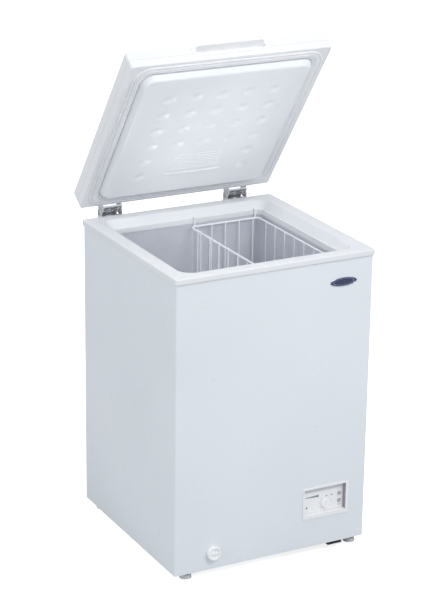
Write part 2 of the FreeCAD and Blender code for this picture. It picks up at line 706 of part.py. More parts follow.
def compressor_base():
    """Dark steel plate that closes the compartment below, with a pressed rail."""
    left, right = COMPARTMENT_X + SHEET_GAP, HALF_X - SHEET - SHEET_GAP
    rail_left, rail_right = RAIL_X - RAIL_HALF_WIDTH, RAIL_X + RAIL_HALF_WIDTH
    top, sunk = BASE + BASE_PLATE, BASE - RAIL_DROP
    section = [(left, BASE), (rail_left, BASE), (rail_left, sunk), (rail_right, sunk), (rail_right, BASE),
               (right, BASE), (right, top), (rail_right - BASE_PLATE, top),
               (rail_right - BASE_PLATE, sunk + BASE_PLATE), (rail_left + BASE_PLATE, sunk + BASE_PLATE),
               (rail_left + BASE_PLATE, top), (left, top)]
    front, back = FRONT + SHEET + SHEET_GAP, BACK_INSIDE - SHEET_GAP
    plate = along_y(section, front, back).common(block(left, right, front, back, sunk, top, INNER_CORNER))
    holes = [rod(V(x, y, BASE - 1), V(x, y, top + 1), BOLT_RADIUS + SHEET_GAP)
             for x, y in lug_places() + base_bolt_places()]
    holes += [rod(V(x, y, BASE - 1), V(x, y, top + 1), STUD_RADIUS + 0.5) for x, y in foot_places() if x > 0]
    return plate.cut(holes)


def lug_places():
    """Centres of the compressor's four mounting lugs."""
    return [(COMPRESSOR_X + i * LUG_X, COMPRESSOR_Y + j * LUG_Y) for i in (-1, 1) for j in (-1, 1)]


def base_bolt_places():
    """Bolts that hold the base plate at the front and back."""
    return [(COMPARTMENT_X + 78, j * (HALF_Y - 22)) for j in (-1, 1)]


def compressor_can():
    """Welded steel can with a bracket of four lugs."""
    low, high = COMPRESSOR_BOTTOM, COMPRESSOR_BOTTOM + COMPRESSOR_HEIGHT
    wall = 3.5

    def place(a, b):
        return V(COMPRESSOR_X + a, COMPRESSOR_Y, b)

    axis = V(COMPRESSOR_X, COMPRESSOR_Y, 0)
    outside = flat([(0, low), (COMPRESSOR_RADIUS, low, 24), (COMPRESSOR_RADIUS, high, 34), (0, high)], place)
    inside = flat([(0, low + wall), (COMPRESSOR_RADIUS - wall, low + wall, 20.5),
                   (COMPRESSOR_RADIUS - wall, high - wall, 30.5), (0, high - wall)], place)
    bead = flat([(COMPRESSOR_RADIUS - 1, low + 84), (COMPRESSOR_RADIUS + 1.5, low + 84),
                 (COMPRESSOR_RADIUS + 1.5, low + 89), (COMPRESSOR_RADIUS - 1, low + 89)], place)
    can = turned(outside, axis, Z).fuse(turned(bead, axis, Z))
    reach = GROMMET_RADIUS + 3
    bracket = block(COMPRESSOR_X - LUG_X - reach, COMPRESSOR_X + LUG_X + reach, COMPRESSOR_Y - LUG_Y - reach,
                    COMPRESSOR_Y + LUG_Y + reach, low, low + LUG_PLATE, reach)
    holes = [rod(V(x, y, low - 1), V(x, y, low + 20), BOLT_RADIUS + SHEET_GAP) for x, y in lug_places()]
    return can.fuse(bracket).cut([turned(inside, axis, Z)] + holes).removeSplitter()


def grommets():
    """Rubber mounts under the compressor's lugs."""
    low, high = BASE + BASE_PLATE, COMPRESSOR_BOTTOM

    def grommet(x, y):
        shape = [(BOLT_RADIUS + 0.2, low), (GROMMET_RADIUS, low, 2), (GROMMET_RADIUS, low + 8),
                 (GROMMET_RADIUS - 3, low + 11), (GROMMET_RADIUS, low + 14), (GROMMET_RADIUS, high, 2),
                 (BOLT_RADIUS + 0.2, high)]
        return turned(flat(shape, lambda a, b: V(x + a, y, b)), V(x, y, 0), Z)

    return group([grommet(x, y) for x, y in lug_places()])


def hexagon(x, y, low, high, flats):
    """Upright hexagonal block, sized across its flats."""
    corner = flats / 2 / cos(pi / 6)
    points = [(x + corner * cos(pi / 3 * i), y + corner * sin(pi / 3 * i)) for i in range(6)]
    return upright(points, low, high)


def compressor_bolts():
    """Bolt and nut through each grommet."""
    top = COMPRESSOR_BOTTOM + LUG_PLATE
    bolts = []
    for x, y in lug_places():
        shank = rod(V(x, y, BASE - 1), V(x, y, top + 12), BOLT_RADIUS)
        bolts.append(joined([shank, hexagon(x, y, BASE - 5, BASE, 13), hexagon(x, y, top, top + 6.5, 13)]))
    return group(bolts)


def base_bolts():
    """Bolts of the base plate, their black heads hanging below it."""
    top = BASE + BASE_PLATE
    bolts = []
    for x, y in base_bolt_places():
        shank = rod(V(x, y, BASE - 1), V(x, y, top + 10), BOLT_RADIUS)
        head = rod(V(x, y, BASE - 7), V(x, y, BASE), BOLT_RADIUS + 2.5)
        bolts.append(joined([shank, head, hexagon(x, y, top, top + 6.5, 13)]))
    return group(bolts)


def can_side(offset_x, radius):
    """Y just behind the can's back wall for a pipe of a radius, at a distance across from the can's axis."""
    reach = COMPRESSOR_RADIUS + SHEET_GAP
    nearest = max(abs(offset_x) - radius, 0)
    return COMPRESSOR_Y + (reach ** 2 - nearest ** 2) ** 0.5


def relay_cover():
    """Plastic box over the starter and its terminals, on the can's left side."""
    right = COMPRESSOR_X - COMPRESSOR_RADIUS - SHEET_GAP
    low = COMPRESSOR_BOTTOM + 24
    box = block(right - 38, right, COMPRESSOR_Y - 25, COMPRESSOR_Y + 25, low, low + 52, 5)
    return box.makeFillet(2.0, [edge for edge in box.Edges if abs(edge.CenterOfMass.z - low - 52) < 0.1])


def suction_pipe():
    """From the evaporator's end back to the can."""
    (x, y), _ = evaporator_legs()
    z = COMPRESSOR_BOTTOM + 72
    radius = EVAPORATOR_RADIUS - 0.5
    start_y = can_side(x - COMPRESSOR_X, radius)
    points = [V(x, start_y, z), V(x, y, z), V(x, y, COMPARTMENT_TOP - LEG_DROP - 0.2)]
    return tube(points, radius, PIPE_BEND)


def discharge_pipe():
    """From the can to the condenser."""
    (x, y), _ = condenser_legs()
    offset, radius = 25.0, CONDENSER_RADIUS + 0.5
    start_x = COMPRESSOR_X - offset
    z = COMPRESSOR_BOTTOM + 42
    points = [V(start_x, can_side(offset, radius), z), V(start_x, y, z), V(x, y, z),
              V(x, y, COMPARTMENT_TOP - LEG_DROP - 0.2)]
    return tube(points, radius, PIPE_BEND)


def drier_place():
    """X, height and back end of the filter drier."""
    _, (x, _) = condenser_legs()
    return x, COMPARTMENT_TOP - 80, COMPRESSOR_Y + 95


def liquid_pipe():
    """From the condenser's end to the filter drier."""
    _, (x, y) = condenser_legs()
    _, z, back = drier_place()
    points = [V(x, y, COMPARTMENT_TOP - LEG_DROP - 0.2), V(x, y, z), V(x, back + 0.2, z)]
    return tube(points, CONDENSER_RADIUS, PIPE_BEND)


def filter_drier():
    """Copper capsule with spun ends, lying front to back."""
    x, z, back = drier_place()
    front = back - DRIER_LENGTH
    shape = [(0, front), (3, front), (3, front + 8), (DRIER_RADIUS, front + 16, 4),
             (DRIER_RADIUS, back - 16, 4), (3, back - 8), (3, back), (0, back)]
    return turned(flat(shape, lambda a, b: V(x + a, b, z)), V(x, 0, z), Y)


def capillary_tube():
    """Thin copper tube round the can, from the drier to the evaporator."""
    _, (end_x, end_y) = evaporator_legs()
    x, z, back = drier_place()
    front = COMPRESSOR_Y - COMPRESSOR_RADIUS - 10
    left = COMPRESSOR_X - COMPRESSOR_RADIUS - 12
    points = [V(x, back - DRIER_LENGTH - 0.2, z), V(x, front, z), V(left, front, z), V(left, end_y, z),
              V(end_x, end_y, z), V(end_x, end_y, COMPARTMENT_TOP - LEG_DROP - 0.2)]
    return tube(points, CAPILLARY_RADIUS, PIPE_BEND)


def slotted(plate, across, low, high, slots, cutter):
    """Cut a column of level slots; cutter(left, right, bottom, top) makes one slot."""
    pitch = (high - low) / slots
    starts = [low + pitch * i for i in range(slots)]
    bars = [cutter(across[0], across[1], start + pitch * 0.25, start + pitch * 0.7) for start in starts]
    return plate.cut(bars)


def rear_grille():
    """White plastic grille screwed over the compartment's opening in the back."""
    plate = along_y(grille_outline(GRILLE_MARGIN), BACK_FACE + 0.05, BACK_FACE + 2.05)
    left, right = COMPARTMENT_X + GRILLE_INSET + 8, HALF_X - 2 * GRILLE_INSET - 8
    low, high = BASE + GLAND_ABOVE + 18, COMPARTMENT_TOP - GRILLE_INSET - 6
    plate = slotted(plate, (left, right), low, high, GRILLE_SLOTS,
                    lambda a, b, c, d: along_y(rectangle(a, b, c, d, (d - c) / 2.01), BACK - 5, BACK + 5))
    gland_z = BASE + GLAND_ABOVE
    gland_hole = rod(V(GLAND_X, BACK - 5, gland_z), V(GLAND_X, BACK + 5, gland_z), GLAND_RADIUS + 0.1)
    holes = [rod(V(x, BACK - 5, z), V(x, BACK + 5, z), SCREW_RADIUS + 0.2) for x, z in grille_screw_places()]
    return plate.cut([gland_hole] + holes)


def side_vent():
    """White plastic vent set into the right side."""
    flange_grow = 6.0
    flange = along_x(vent_outline(flange_grow), HALF_X + 0.05, HALF_X + 1.25)
    body = along_x(vent_outline(0), HALF_X - 6, HALF_X + 0.05)
    front, back = VENT_Y - VENT_WIDTH / 2 + 6, VENT_Y + VENT_WIDTH / 2 - 6
    low, high = BASE + VENT_ABOVE - VENT_HEIGHT / 2 + 4, BASE + VENT_ABOVE + VENT_HEIGHT / 2 - 4

    def slot(a, b, c, d):
        return along_x(rectangle(a, b, c, d, (d - c) / 2.01), HALF_X - 10, HALF_X + 5)

    return slotted(flange.fuse(body), (front, back), low, high, VENT_SLOTS, slot).removeSplitter()


def cord_gland():
    """Ribbed plastic gland in the grille where the supply cord goes in."""
    z = BASE + GLAND_ABOVE
    profile = [(GLAND_BORE, BACK_FACE - 6), (GLAND_RADIUS, BACK_FACE - 6), (GLAND_RADIUS, BACK_FACE + 2.1),
               (GLAND_RADIUS + 3, BACK_FACE + 2.1), (GLAND_RADIUS + 3, BACK_FACE + 5, 1),
               (GLAND_RADIUS - 1, BACK_FACE + 5), (GLAND_RADIUS - 2.5, BACK_FACE + 14, 1),
               (GLAND_BORE, BACK_FACE + 14)]
    return turned(flat(profile, lambda a, b: V(GLAND_X + a, b, z)), V(GLAND_X, 0, z), Y)


def grille_screw_places():
    """Screws at the grille's corners, in (x, z)."""
    left, right = COMPARTMENT_X + GRILLE_INSET - 3.5, HALF_X - 2 * GRILLE_INSET + 3.5
    low, high = BASE + GRILLE_INSET - 3.5, COMPARTMENT_TOP - GRILLE_INSET + 3.5
    return [(x, z) for x in (left, right) for z in (low, high)]


def hinge_screw_places():
    """Screws of both hinge casings, in (x, z)."""
    reach = HINGE_INNER / 2 + 10
    return [(side * HINGE_X + i * reach, CASING_BOTTOM + dz)
            for side in (-1, 1) for i in (-1, 1) for dz in (14, 62)]


def cabinet_screw_holes():
    """Clearance for every screw in the back panel."""
    places = hinge_screw_places() + grille_screw_places()
    return [rod(V(x, BACK_INSIDE - SCREW_LENGTH, z), V(x, BACK, z), SCREW_RADIUS + 0.2) for x, z in places]


def pan_screw(x, z, point, seat):
    """Cross-recessed pan-head screw along Y, from its point to the seat of its head."""
    shank = rod(V(x, point, z), V(x, seat, z), SCREW_RADIUS)
    top = seat + SCREW_HEAD
    profile = [(0, seat - 0.01), (SCREW_HEAD_RADIUS, seat - 0.01), (SCREW_HEAD_RADIUS, top, 1.6), (0, top)]
    head = turned(flat(profile, lambda a, b: V(x + a, b, z)), V(x, 0, z), Y)
    long, thin = SCREW_HEAD_RADIUS * 0.55, CROSS_WIDTH / 2
    cross = [block(x - a, x + a, top - CROSS_DEPTH, top + 1, z - b, z + b)
             for a, b in ((long, thin), (thin, long))]
    return shank.fuse(head).removeSplitter().cut(cross)


def cabinet_screws():
    """Screws of the hinge casings and the grille."""
    seat = BACK_FACE + 0.05 + HINGE_SHEET + 0.05
    point = BACK_INSIDE - SCREW_LENGTH + 1
    return group([pan_screw(x, z, point, seat) for x, z in hinge_screw_places() + grille_screw_places()])


# ---------------------------------------------------------------- control panel

def control_housing():
    """White plastic box with a bezel, set into the front."""
    half_x, half_z = PANEL_WIDTH / 2, PANEL_HEIGHT / 2
    bezel = along_y(rectangle(PANEL_X - half_x, PANEL_X + half_x, PANEL_Z - half_z, PANEL_Z + half_z, 4.0),
                    FRONT - BEZEL_PROUD, FRONT - 0.05)
    body = along_y(panel_outline(-0.1), FRONT - 0.05, PANEL_FLOOR + PANEL_WALL)
    recess = along_y(rectangle(PANEL_LEFT, PANEL_RIGHT, PANEL_LOW, PANEL_HIGH, 1.5), FRONT - 5, PANEL_FLOOR)
    return bezel.fuse(body).removeSplitter().cut([recess] + panel_holes(0.3))


def panel_holes(clearance):
    """Holes for the knob's shaft and the lamps."""
    spots = [(KNOB_X, KNOB_Z, SHAFT_RADIUS)] + [(x, z, LAMP_RADIUS) for x, z in lamp_places()]
    return [rod(V(x, FRONT, z), V(x, FRONT + 40, z), r + clearance) for x, z, r in spots]


def lamp_places():
    """Centres of the indicator lamps."""
    return [(LAMP_X, BASE + height) for height in LAMP_HEIGHTS]


def control_plate():
    """White fascia plate on the floor of the recess."""
    plate = along_y(rectangle(PANEL_LEFT + SHEET_GAP, PANEL_RIGHT - SHEET_GAP, PANEL_LOW + SHEET_GAP,
                              PANEL_HIGH - SHEET_GAP, 1.5), PLATE_FRONT, PANEL_FLOOR)
    return plate.cut(panel_holes(0.3))


def indicator_lamps():
    """Domed lenses that pass through the plate."""
    def lamp(x, z):
        front = PLATE_FRONT - 1.8
        shape = [(0, front), (LAMP_RADIUS, front, 1.5), (LAMP_RADIUS, PANEL_FLOOR + 8), (0, PANEL_FLOOR + 8)]
        return turned(flat(shape, lambda a, b: V(x + a, b, z)), V(x, 0, z), Y)

    return group([lamp(x, z) for x, z in lamp_places()])


def thermostat_knob():
    """Low round knob with a raised pointer bar and its shaft."""
    back = PLATE_FRONT - 0.4
    front = back - KNOB_HEIGHT
    skirt = flat([(0, front + 2), (KNOB_RADIUS - 2, front + 2, 1.5), (KNOB_RADIUS, back), (0, back)],
                 lambda a, b: V(KNOB_X + a, b, KNOB_Z))
    body = turned(skirt, V(KNOB_X, 0, KNOB_Z), Y)
    half = KNOB_RADIUS - 2
    bar = along_y(rectangle(KNOB_X - 2.2, KNOB_X + 2.2, KNOB_Z - half, KNOB_Z + half, 1.5), front, front + 3)
    shaft = rod(V(KNOB_X, back - 1, KNOB_Z), V(KNOB_X, thermostat_front() + 12, KNOB_Z), SHAFT_RADIUS)
    return joined([body, bar, shaft])


def thermostat_front():
    """Front face of the thermostat."""
    return PANEL_FLOOR + PANEL_WALL + 0.2


def thermostat_body():
    """Switch box behind the control housing."""
    front = thermostat_front()
    box = along_y(rectangle(KNOB_X - 20, KNOB_X + 20, KNOB_Z - 15, KNOB_Z + 15, 3), front, front + 34)
    return box.cut(rod(V(KNOB_X, front - 1, KNOB_Z), V(KNOB_X, front + 14, KNOB_Z), SHAFT_RADIUS + 0.08))


def thermostat_sensor():
    """Thin tube and bulb that feel the cold beside the liner."""
    x, y = sensor_place()
    thin = rod(V(x, y, KNOB_Z + 15.2), V(x, y, BULB_TOP - BULB_LENGTH + 2), CAPILLARY_RADIUS)
    bulb = rod(V(x, y, BULB_TOP - BULB_LENGTH), V(x, y, BULB_TOP), BULB_RADIUS)
    return joined([thin, bulb])


# ---------------------------------------------------------------- badge and drain

def ellipse_prism(half_width, half_height, front, back):
    """Oval prism on the front of the cabinet."""
    oval = Part.Ellipse(V(0, 0, 0), half_width, half_height)
    face = Part.Face(Part.Wire(oval.toShape()))
    face.rotate(V(0, 0, 0), X, 90)
    face.translate(V(BADGE_X, front, BASE + BADGE_ABOVE))
    return face.extrude(Y * (back - front))


def badge_plate():
    """Plain oval plate with two locating pins."""
    plate = ellipse_prism(BADGE_HALF_WIDTH - BADGE_RIM - 0.1, BADGE_HALF_HEIGHT - BADGE_RIM - 0.1,
                          FRONT - BADGE_THICKNESS * 0.7, FRONT)
    pins = [badge_pin(x, FRONT - 0.5, FRONT + SHEET + 0.2, BADGE_PIN_RADIUS) for x in badge_pins()]
    return joined([plate] + pins)


def badge_pins():
    """X of the badge's two pins."""
    return BADGE_X - BADGE_PIN_X, BADGE_X + BADGE_PIN_X


def badge_pin(x, front, back, radius):
    """Round pin, or the hole for it, at the badge's height."""
    return rod(V(x, front, BASE + BADGE_ABOVE), V(x, back, BASE + BADGE_ABOVE), radius)


def badge_rim():
    """Bright rim round the badge."""
    outside = ellipse_prism(BADGE_HALF_WIDTH, BADGE_HALF_HEIGHT, FRONT - BADGE_THICKNESS, FRONT)
    inside = ellipse_prism(BADGE_HALF_WIDTH - BADGE_RIM, BADGE_HALF_HEIGHT - BADGE_RIM, FRONT - 5, FRONT + 5)
    return outside.cut(inside)


def drain_turned(profile):
    """Turn an (r, y) profile about the drain's axis."""
    return turned(flat(profile, lambda a, b: V(DRAIN_X + a, b, DRAIN_Z)), V(DRAIN_X, 0, DRAIN_Z), Y)


def drain_socket():
    """Flanged socket that holds the tube's end in the front."""
    bore, flange = DRAIN_TUBE_RADIUS + 0.2, SOCKET_RADIUS + 4
    collar = [(bore, FRONT - 2), (flange, FRONT - 2), (flange, FRONT - 0.05)]
    sleeve = [(SOCKET_RADIUS, FRONT - 0.05), (SOCKET_RADIUS, FRONT + SOCKET_DEPTH),
              (bore, FRONT + SOCKET_DEPTH)]
    return drain_turned(collar + sleeve)


def drain_cap():
    """White screw cap with a grip bar and a stub that closes the tube."""
    back = FRONT - 0.4
    front = FRONT - 2.4 - DRAIN_CAP_DEPTH
    seat = FRONT - 2.4
    inner = SOCKET_RADIUS + 4.4
    stub = DRAIN_TUBE_RADIUS - DRAIN_TUBE_WALL - 0.4
    outer = DRAIN_CAP_RADIUS
    body = drain_turned([(0, front + 3), (outer - 6, front + 3), (outer - 4.5, front, 1), (outer, front, 2),
                         (outer, back), (inner, back), (inner, seat), (stub, seat), (stub, FRONT + 8),
                         (0, FRONT + 8)])
    half = outer - 5
    bar = along_y(rectangle(DRAIN_X - half, DRAIN_X + half, DRAIN_Z - 2.5, DRAIN_Z + 2.5, 1),
                  front + 0.5, front + 4)
    return joined([body, bar])


def drain_plug():
    """Bung in the low floor, with a tab to pull it by."""
    radius = DRAIN_TUBE_RADIUS - DRAIN_TUBE_WALL - 0.4
    seat = LOW_FLOOR + 0.8
    flange = DRAIN_TUBE_RADIUS + 6
    profile = [(0, LOW_FLOOR - 7), (radius, LOW_FLOOR - 7, 1), (radius, seat), (flange, seat),
               (flange, seat + 3, 1.5), (0, seat + 3)]
    stem = turned(flat(profile, lambda a, b: V(DRAIN_X + a, DRAIN_Y, b)), V(DRAIN_X, DRAIN_Y, 0), Z)
    tab = along_y([(DRAIN_X - 6, seat + 2), (DRAIN_X + 6, seat + 2), (DRAIN_X + 6, seat + 14, 5),
                   (DRAIN_X - 6, seat + 14, 5)], DRAIN_Y - 1.5, DRAIN_Y + 1.5)
    return joined([stem, tab])


# ---------------------------------------------------------------- feet

def foot_places():
    """Axes of the four feet: front left, front right, back left, back right."""
    return [(FOOT_IN_LEFT - HALF_X, -FOOT_Y), (HALF_X - FOOT_IN_RIGHT, -FOOT_Y),
            (-FOOT_X, FOOT_Y), (FOOT_X, FOOT_Y)]


def foot_pad(x, y):
    """Pale plastic pad that stands on the floor."""
    shape = [(0, 0), (FOOT_RADIUS, 0, 1), (FOOT_RADIUS - 1.5, FOOT_PAD, 1), (0, FOOT_PAD)]
    return turned(flat(shape, lambda a, b: V(x + a, y, b)), V(x, y, 0), Z)


def foot_stud(x, y):
    """Dark steel stud with a hexagonal collar, screwed up into the base."""
    collar = hexagon(x, y, FOOT_PAD, BASE - 0.5, COLLAR_RADIUS * 2 * cos(pi / 6))
    return joined([collar, rod(V(x, y, FOOT_PAD + 1), V(x, y, BASE + STUD_LENGTH - 1), STUD_RADIUS)])


def rear_feet():
    """The two fixed feet at the back."""
    return group([joined([foot_pad(x, y), foot_stud(x, y)]) for x, y in foot_places()[2:]])


def foot_nuts():
    """Nuts inside the base that the studs turn in."""
    low, high = BASE + BASE_PLATE + SHEET_GAP, BASE + BASE_PLATE + 10
    nuts = []
    for x, y in foot_places():
        bore = rod(V(x, y, low - 1), V(x, y, high + 1), STUD_RADIUS + 0.06)
        nuts.append(hexagon(x, y, low, high, 17).cut(bore))
    return group(nuts)


# ---------------------------------------------------------------- lid, drawn closed

def lid_outside(low, high):
    """Full block of the lid between two heights."""
    return column(LID_X, LID_Y, LID_CORNER, low, high)


def lid_inside(low, high):
    """Hollow of the lid between two heights."""
    return column(LID_X - LID_WALL, LID_Y - LID_WALL, LID_CORNER - LID_WALL, low, high)


def handle_window(grow):
    """Opening in the lid's front wall for the handle's pocket."""
    half = HANDLE_HALF_LENGTH - 4 + grow
    return along_y(rectangle(-half, half, LID_BOTTOM + HANDLE_BOTTOM + 3 - grow, LID_TOP - 9 + grow, 6.0),
                   -LID_Y - 1, -LID_Y + HANDLE_POCKET + 3 + grow)


def lid_screw_places():
    """Screws of both hinge arms in the lid's back wall, in (x, z)."""
    return [(side * HINGE_X + dx, LID_BOTTOM + dz)
            for side in (-1, 1) for dx in (-14, 14) for dz in (12, 36)]


def lid_screw_holes():
    """Clearance for those screws."""
    return [rod(V(x, LID_Y - SCREW_LENGTH, z), V(x, LID_Y + 5, z), SCREW_RADIUS + 0.2)
            for x, z in lid_screw_places()]


def lid_top():
    """Upper moulding of the lid, its top edges rounded."""
    low = LID_BOTTOM + LID_SEAM
    outside = lid_outside(low, LID_TOP)
    top_edges = [edge for edge in outside.Edges if abs(edge.BoundBox.ZMin - LID_TOP) < 0.01]
    outside = outside.makeFillet(LID_EDGE, top_edges)
    return outside.cut([lid_inside(low - 1, LID_TOP - LID_WALL), handle_window(0.2)] + lid_screw_holes())


def lid_frame():
    """Lower moulding: the lid's skirt and the lip that carries the gasket."""
    high = LID_BOTTOM + LID_SEAM - LID_SEAM_GAP
    lip_r = PLUG_R + LIP_CLEARANCE
    low, top = LID_BOTTOM - 1, LID_BOTTOM + LID_WALL + 1
    hole = column(LID_CORNER_X + lip_r, LID_CORNER_Y + lip_r, lip_r, low, top)
    outside = lid_outside(LID_BOTTOM, high)
    low_edges = [edge for edge in outside.Edges if abs(edge.BoundBox.ZMax - LID_BOTTOM) < 0.01]
    outside = outside.makeFillet(2.0, low_edges)
    inside = lid_inside(LID_BOTTOM + LID_WALL, high + 1)
    return outside.cut([inside, hole, handle_window(0.2)] + lid_screw_holes())


def dimple_places():
    """Centres of the dimples; the ribbed patch takes the middle of the two back rows."""
    places = []
    for row in range(DIMPLE_ROWS):
        for number in range(DIMPLE_COLUMNS):
            inner = 0 < number < DIMPLE_COLUMNS - 1
            if row < DIMPLE_ROWS - 2 or not inner:
                x = (number - (DIMPLE_COLUMNS - 1) / 2) * DIMPLE_PITCH_X
                places.append((x, (row - (DIMPLE_ROWS - 1) / 2) * DIMPLE_PITCH_Y))
    return places


def lid_lining():
    """White plastic lining with a raised field, dimples, ribs and a ledge."""
    top = PLUG_BOTTOM + PLUG_WALL
    flange = LID_BOTTOM + LID_WALL + SHEET_GAP
    outer = PLUG_R - 2.0
    sides = carried_round([
        (1, PLUG_BOTTOM), (PLUG_R - PLUG_RUN, PLUG_BOTTOM, 7), (PLUG_R, LID_BOTTOM - 1, 3), (PLUG_R, flange),
        (PLUG_R + LINING_FLANGE, flange), (PLUG_R + LINING_FLANGE, flange + 2), (outer, flange + 2),
        (outer, LID_BOTTOM), (PLUG_R - PLUG_RUN - 1, top), (1, top)], LID_CORNER_X, LID_CORNER_Y)
    field = column(LID_CORNER_X + 1, LID_CORNER_Y + 1, 1, PLUG_BOTTOM, top)
    ball = (DIMPLE_RADIUS ** 2 + DIMPLE_DEPTH ** 2) / (2 * DIMPLE_DEPTH)
    dimples = [Part.makeSphere(ball, V(x, y, PLUG_BOTTOM + DIMPLE_DEPTH - ball)) for x, y in dimple_places()]
    lining = joined([sides, field]).cut(dimples)
    first = (DIMPLE_ROWS / 2 - 2) * DIMPLE_PITCH_Y + DIMPLE_PITCH_Y / 2 - 10
    ribs = [level_bar(RIB_HALF_LENGTH, first + RIB_PITCH * i, 1.4) for i in range(RIB_COUNT)]
    ledge = level_bar(RIB_HALF_LENGTH + 13, first + RIB_PITCH * (RIB_COUNT + 0.8), 2.2)
    return joined([lining] + ribs + [ledge])


def level_bar(half_length, y, height):
    """Half-round bar along X, half sunk in the lining's face."""
    return rod(V(-half_length, y, PLUG_BOTTOM), V(half_length, y, PLUG_BOTTOM), height)


def lid_foam():
    """Foam that fills the lid."""
    low = LID_BOTTOM + LID_WALL + 2 + 2 * SHEET_GAP
    inset = LID_WALL + SHEET_GAP
    body = column(LID_X - inset, LID_Y - inset, LID_CORNER - inset, low, LID_TOP - inset)
    inner_r = PLUG_R - PLUG_RUN - 2
    field_low = PLUG_BOTTOM + PLUG_WALL + SHEET_GAP
    field = column(LID_CORNER_X + inner_r, LID_CORNER_Y + inner_r, inner_r, field_low, low + 1)
    return joined([body, field]).cut([handle_window(0.5)] + lid_screw_holes())


def lid_gasket():
    """Soft white seal with a hollow-looking bulb between two lips."""
    low, high = LID_BOTTOM - GASKET_THICKNESS, LID_BOTTOM - 0.02
    inner, outer = GASKET_CORNER - GASKET_WIDTH, GASKET_CORNER
    bulb = [(inner, high), (inner, low + 1.2), (inner + 2, low, 1), (inner + 8, low, 1),
            (inner + 9.5, low + 1.4)]
    lip = [(outer - 5.5, low + 1.4), (outer - 4, low, 1), (outer - 1.5, low, 1), (outer, low + 1.2),
           (outer, high)]
    profile = bulb + lip
    return carried_round(profile, GASKET_CENTRE_X, GASKET_CENTRE_Y)


def lid_handle():
    """Moulded grip: a frame with a finger pocket under a lip that stands out."""
    low, high = LID_BOTTOM + HANDLE_BOTTOM, LID_TOP - LID_EDGE
    face = -LID_Y
    frame = along_y(rectangle(-HANDLE_HALF_LENGTH, HANDLE_HALF_LENGTH, low, high, 9), face - 2.2, face - 0.1)
    half = HANDLE_HALF_LENGTH - 4
    box = along_y(rectangle(-half, half, low + 3, LID_TOP - 9, 6), face - 0.1, face + HANDLE_POCKET + 2.5)
    lip_half = HANDLE_HALF_LENGTH - 6
    lip = upright([(-lip_half, face - 0.1), (-lip_half + 9, face - HANDLE_REACH, 9),
                   (lip_half - 9, face - HANDLE_REACH, 9), (lip_half, face - 0.1)], high - 11, high)
    inner = half - 4
    pocket = along_y(rectangle(-inner, inner, low + 6, high - 11, 6), face - 20, face + HANDLE_POCKET)
    return joined([frame, box, lip]).cut(pocket)


# ---------------------------------------------------------------- hinges

def hinge_casing(side):
    """White steel casing on the cabinet's back: a channel with two screw flanges and a spring seat."""
    x = side * HINGE_X
    half = HINGE_INNER / 2
    face = BACK_FACE + 0.05
    flange_top = RIM_BOTTOM - 2
    reach = 10.0
    high = HINGE_Z + reach
    cheek = [(face, CASING_BOTTOM), (face, flange_top), (RIM_Y + 2.5, flange_top),
             (HINGE_Y - reach, HINGE_Z - 6), (HINGE_Y - reach, high, 8), (CASING_BACK, high, 8),
             (CASING_BACK, CASING_BOTTOM)]
    pieces = [block(x - half - HINGE_SHEET, x + half + HINGE_SHEET, CASING_BACK - HINGE_SHEET, CASING_BACK,
                    CASING_BOTTOM, RIM_TOP - 10)]
    pieces.append(block(x - half - 0.5, x + half + 0.5, face + 3, CASING_BACK - 1,
                        SPRING_SEAT - HINGE_SHEET, SPRING_SEAT))
    pieces.append(block(x - CASING_TONGUE, x + CASING_TONGUE, CASING_BACK - HINGE_SHEET, CASING_BACK,
                        RIM_TOP - 11, HINGE_Z + 8))
    for hand in (-1, 1):
        inner, outer = sorted((x + hand * half, x + hand * (half + HINGE_SHEET)))
        pieces.append(along_x(cheek, inner, outer))
        near, far = sorted((x + hand * half, x + hand * (half + 18)))
        pieces.append(block(near, far, face, face + HINGE_SHEET, CASING_BOTTOM, flange_top))
    bore = rod(V(x - 50, HINGE_Y, HINGE_Z), V(x + 50, HINGE_Y, HINGE_Z), PIN_RADIUS + PIN_CLEARANCE)
    return joined(pieces).cut([bore] + cabinet_screw_holes_near(x, face))


def cabinet_screw_holes_near(x, face):
    """Screw holes in one casing's flanges."""
    return [rod(V(a, face - 1, z), V(a, face + HINGE_SHEET + 1, z), SCREW_RADIUS + 0.2)
            for a, z in hinge_screw_places() if abs(a - x) < HINGE_INNER]


def hinge_pins():
    """Headed pin through each casing and arm."""
    half = HINGE_INNER / 2 + HINGE_SHEET
    pins = []
    for side in (-1, 1):
        ends = [V(side * HINGE_X + i * (half + 0.1), HINGE_Y, HINGE_Z) for i in (-1, 1)]
        outer = [V(side * HINGE_X + i * (half + 2.1), HINGE_Y, HINGE_Z) for i in (-1, 1)]
        pins.append(joined([rod(outer[0], outer[1], PIN_RADIUS), rod(outer[0], ends[0], PIN_RADIUS + 2.5),
                            rod(ends[1], outer[1], PIN_RADIUS + 2.5)]))
    return group(pins)


def hinge_springs(side):
    """Two coil springs side by side, standing on the casing's seat and pressed up to the toe bar."""
    top = HINGE_Z + TOE_LIFT - TOE_RADIUS - SHEET_GAP
    apart = SPRING_RADIUS + SPRING_SPREAD
    return group([coil(V(side * HINGE_X + i * apart, SPRING_Y, SPRING_SEAT), SPRING_RADIUS - SPRING_WIRE / 2,
                       SPRING_WIRE / 2, top - SPRING_SEAT, SPRING_TURNS) for i in (-1, 1)])


def closed_toe():
    """Y and Z of the toe bar from the pin when the lid is closed."""
    turn = radians(LID_OPEN)
    return TOE_Y * cos(turn) - TOE_LIFT * sin(turn), TOE_Y * sin(turn) + TOE_LIFT * cos(turn)


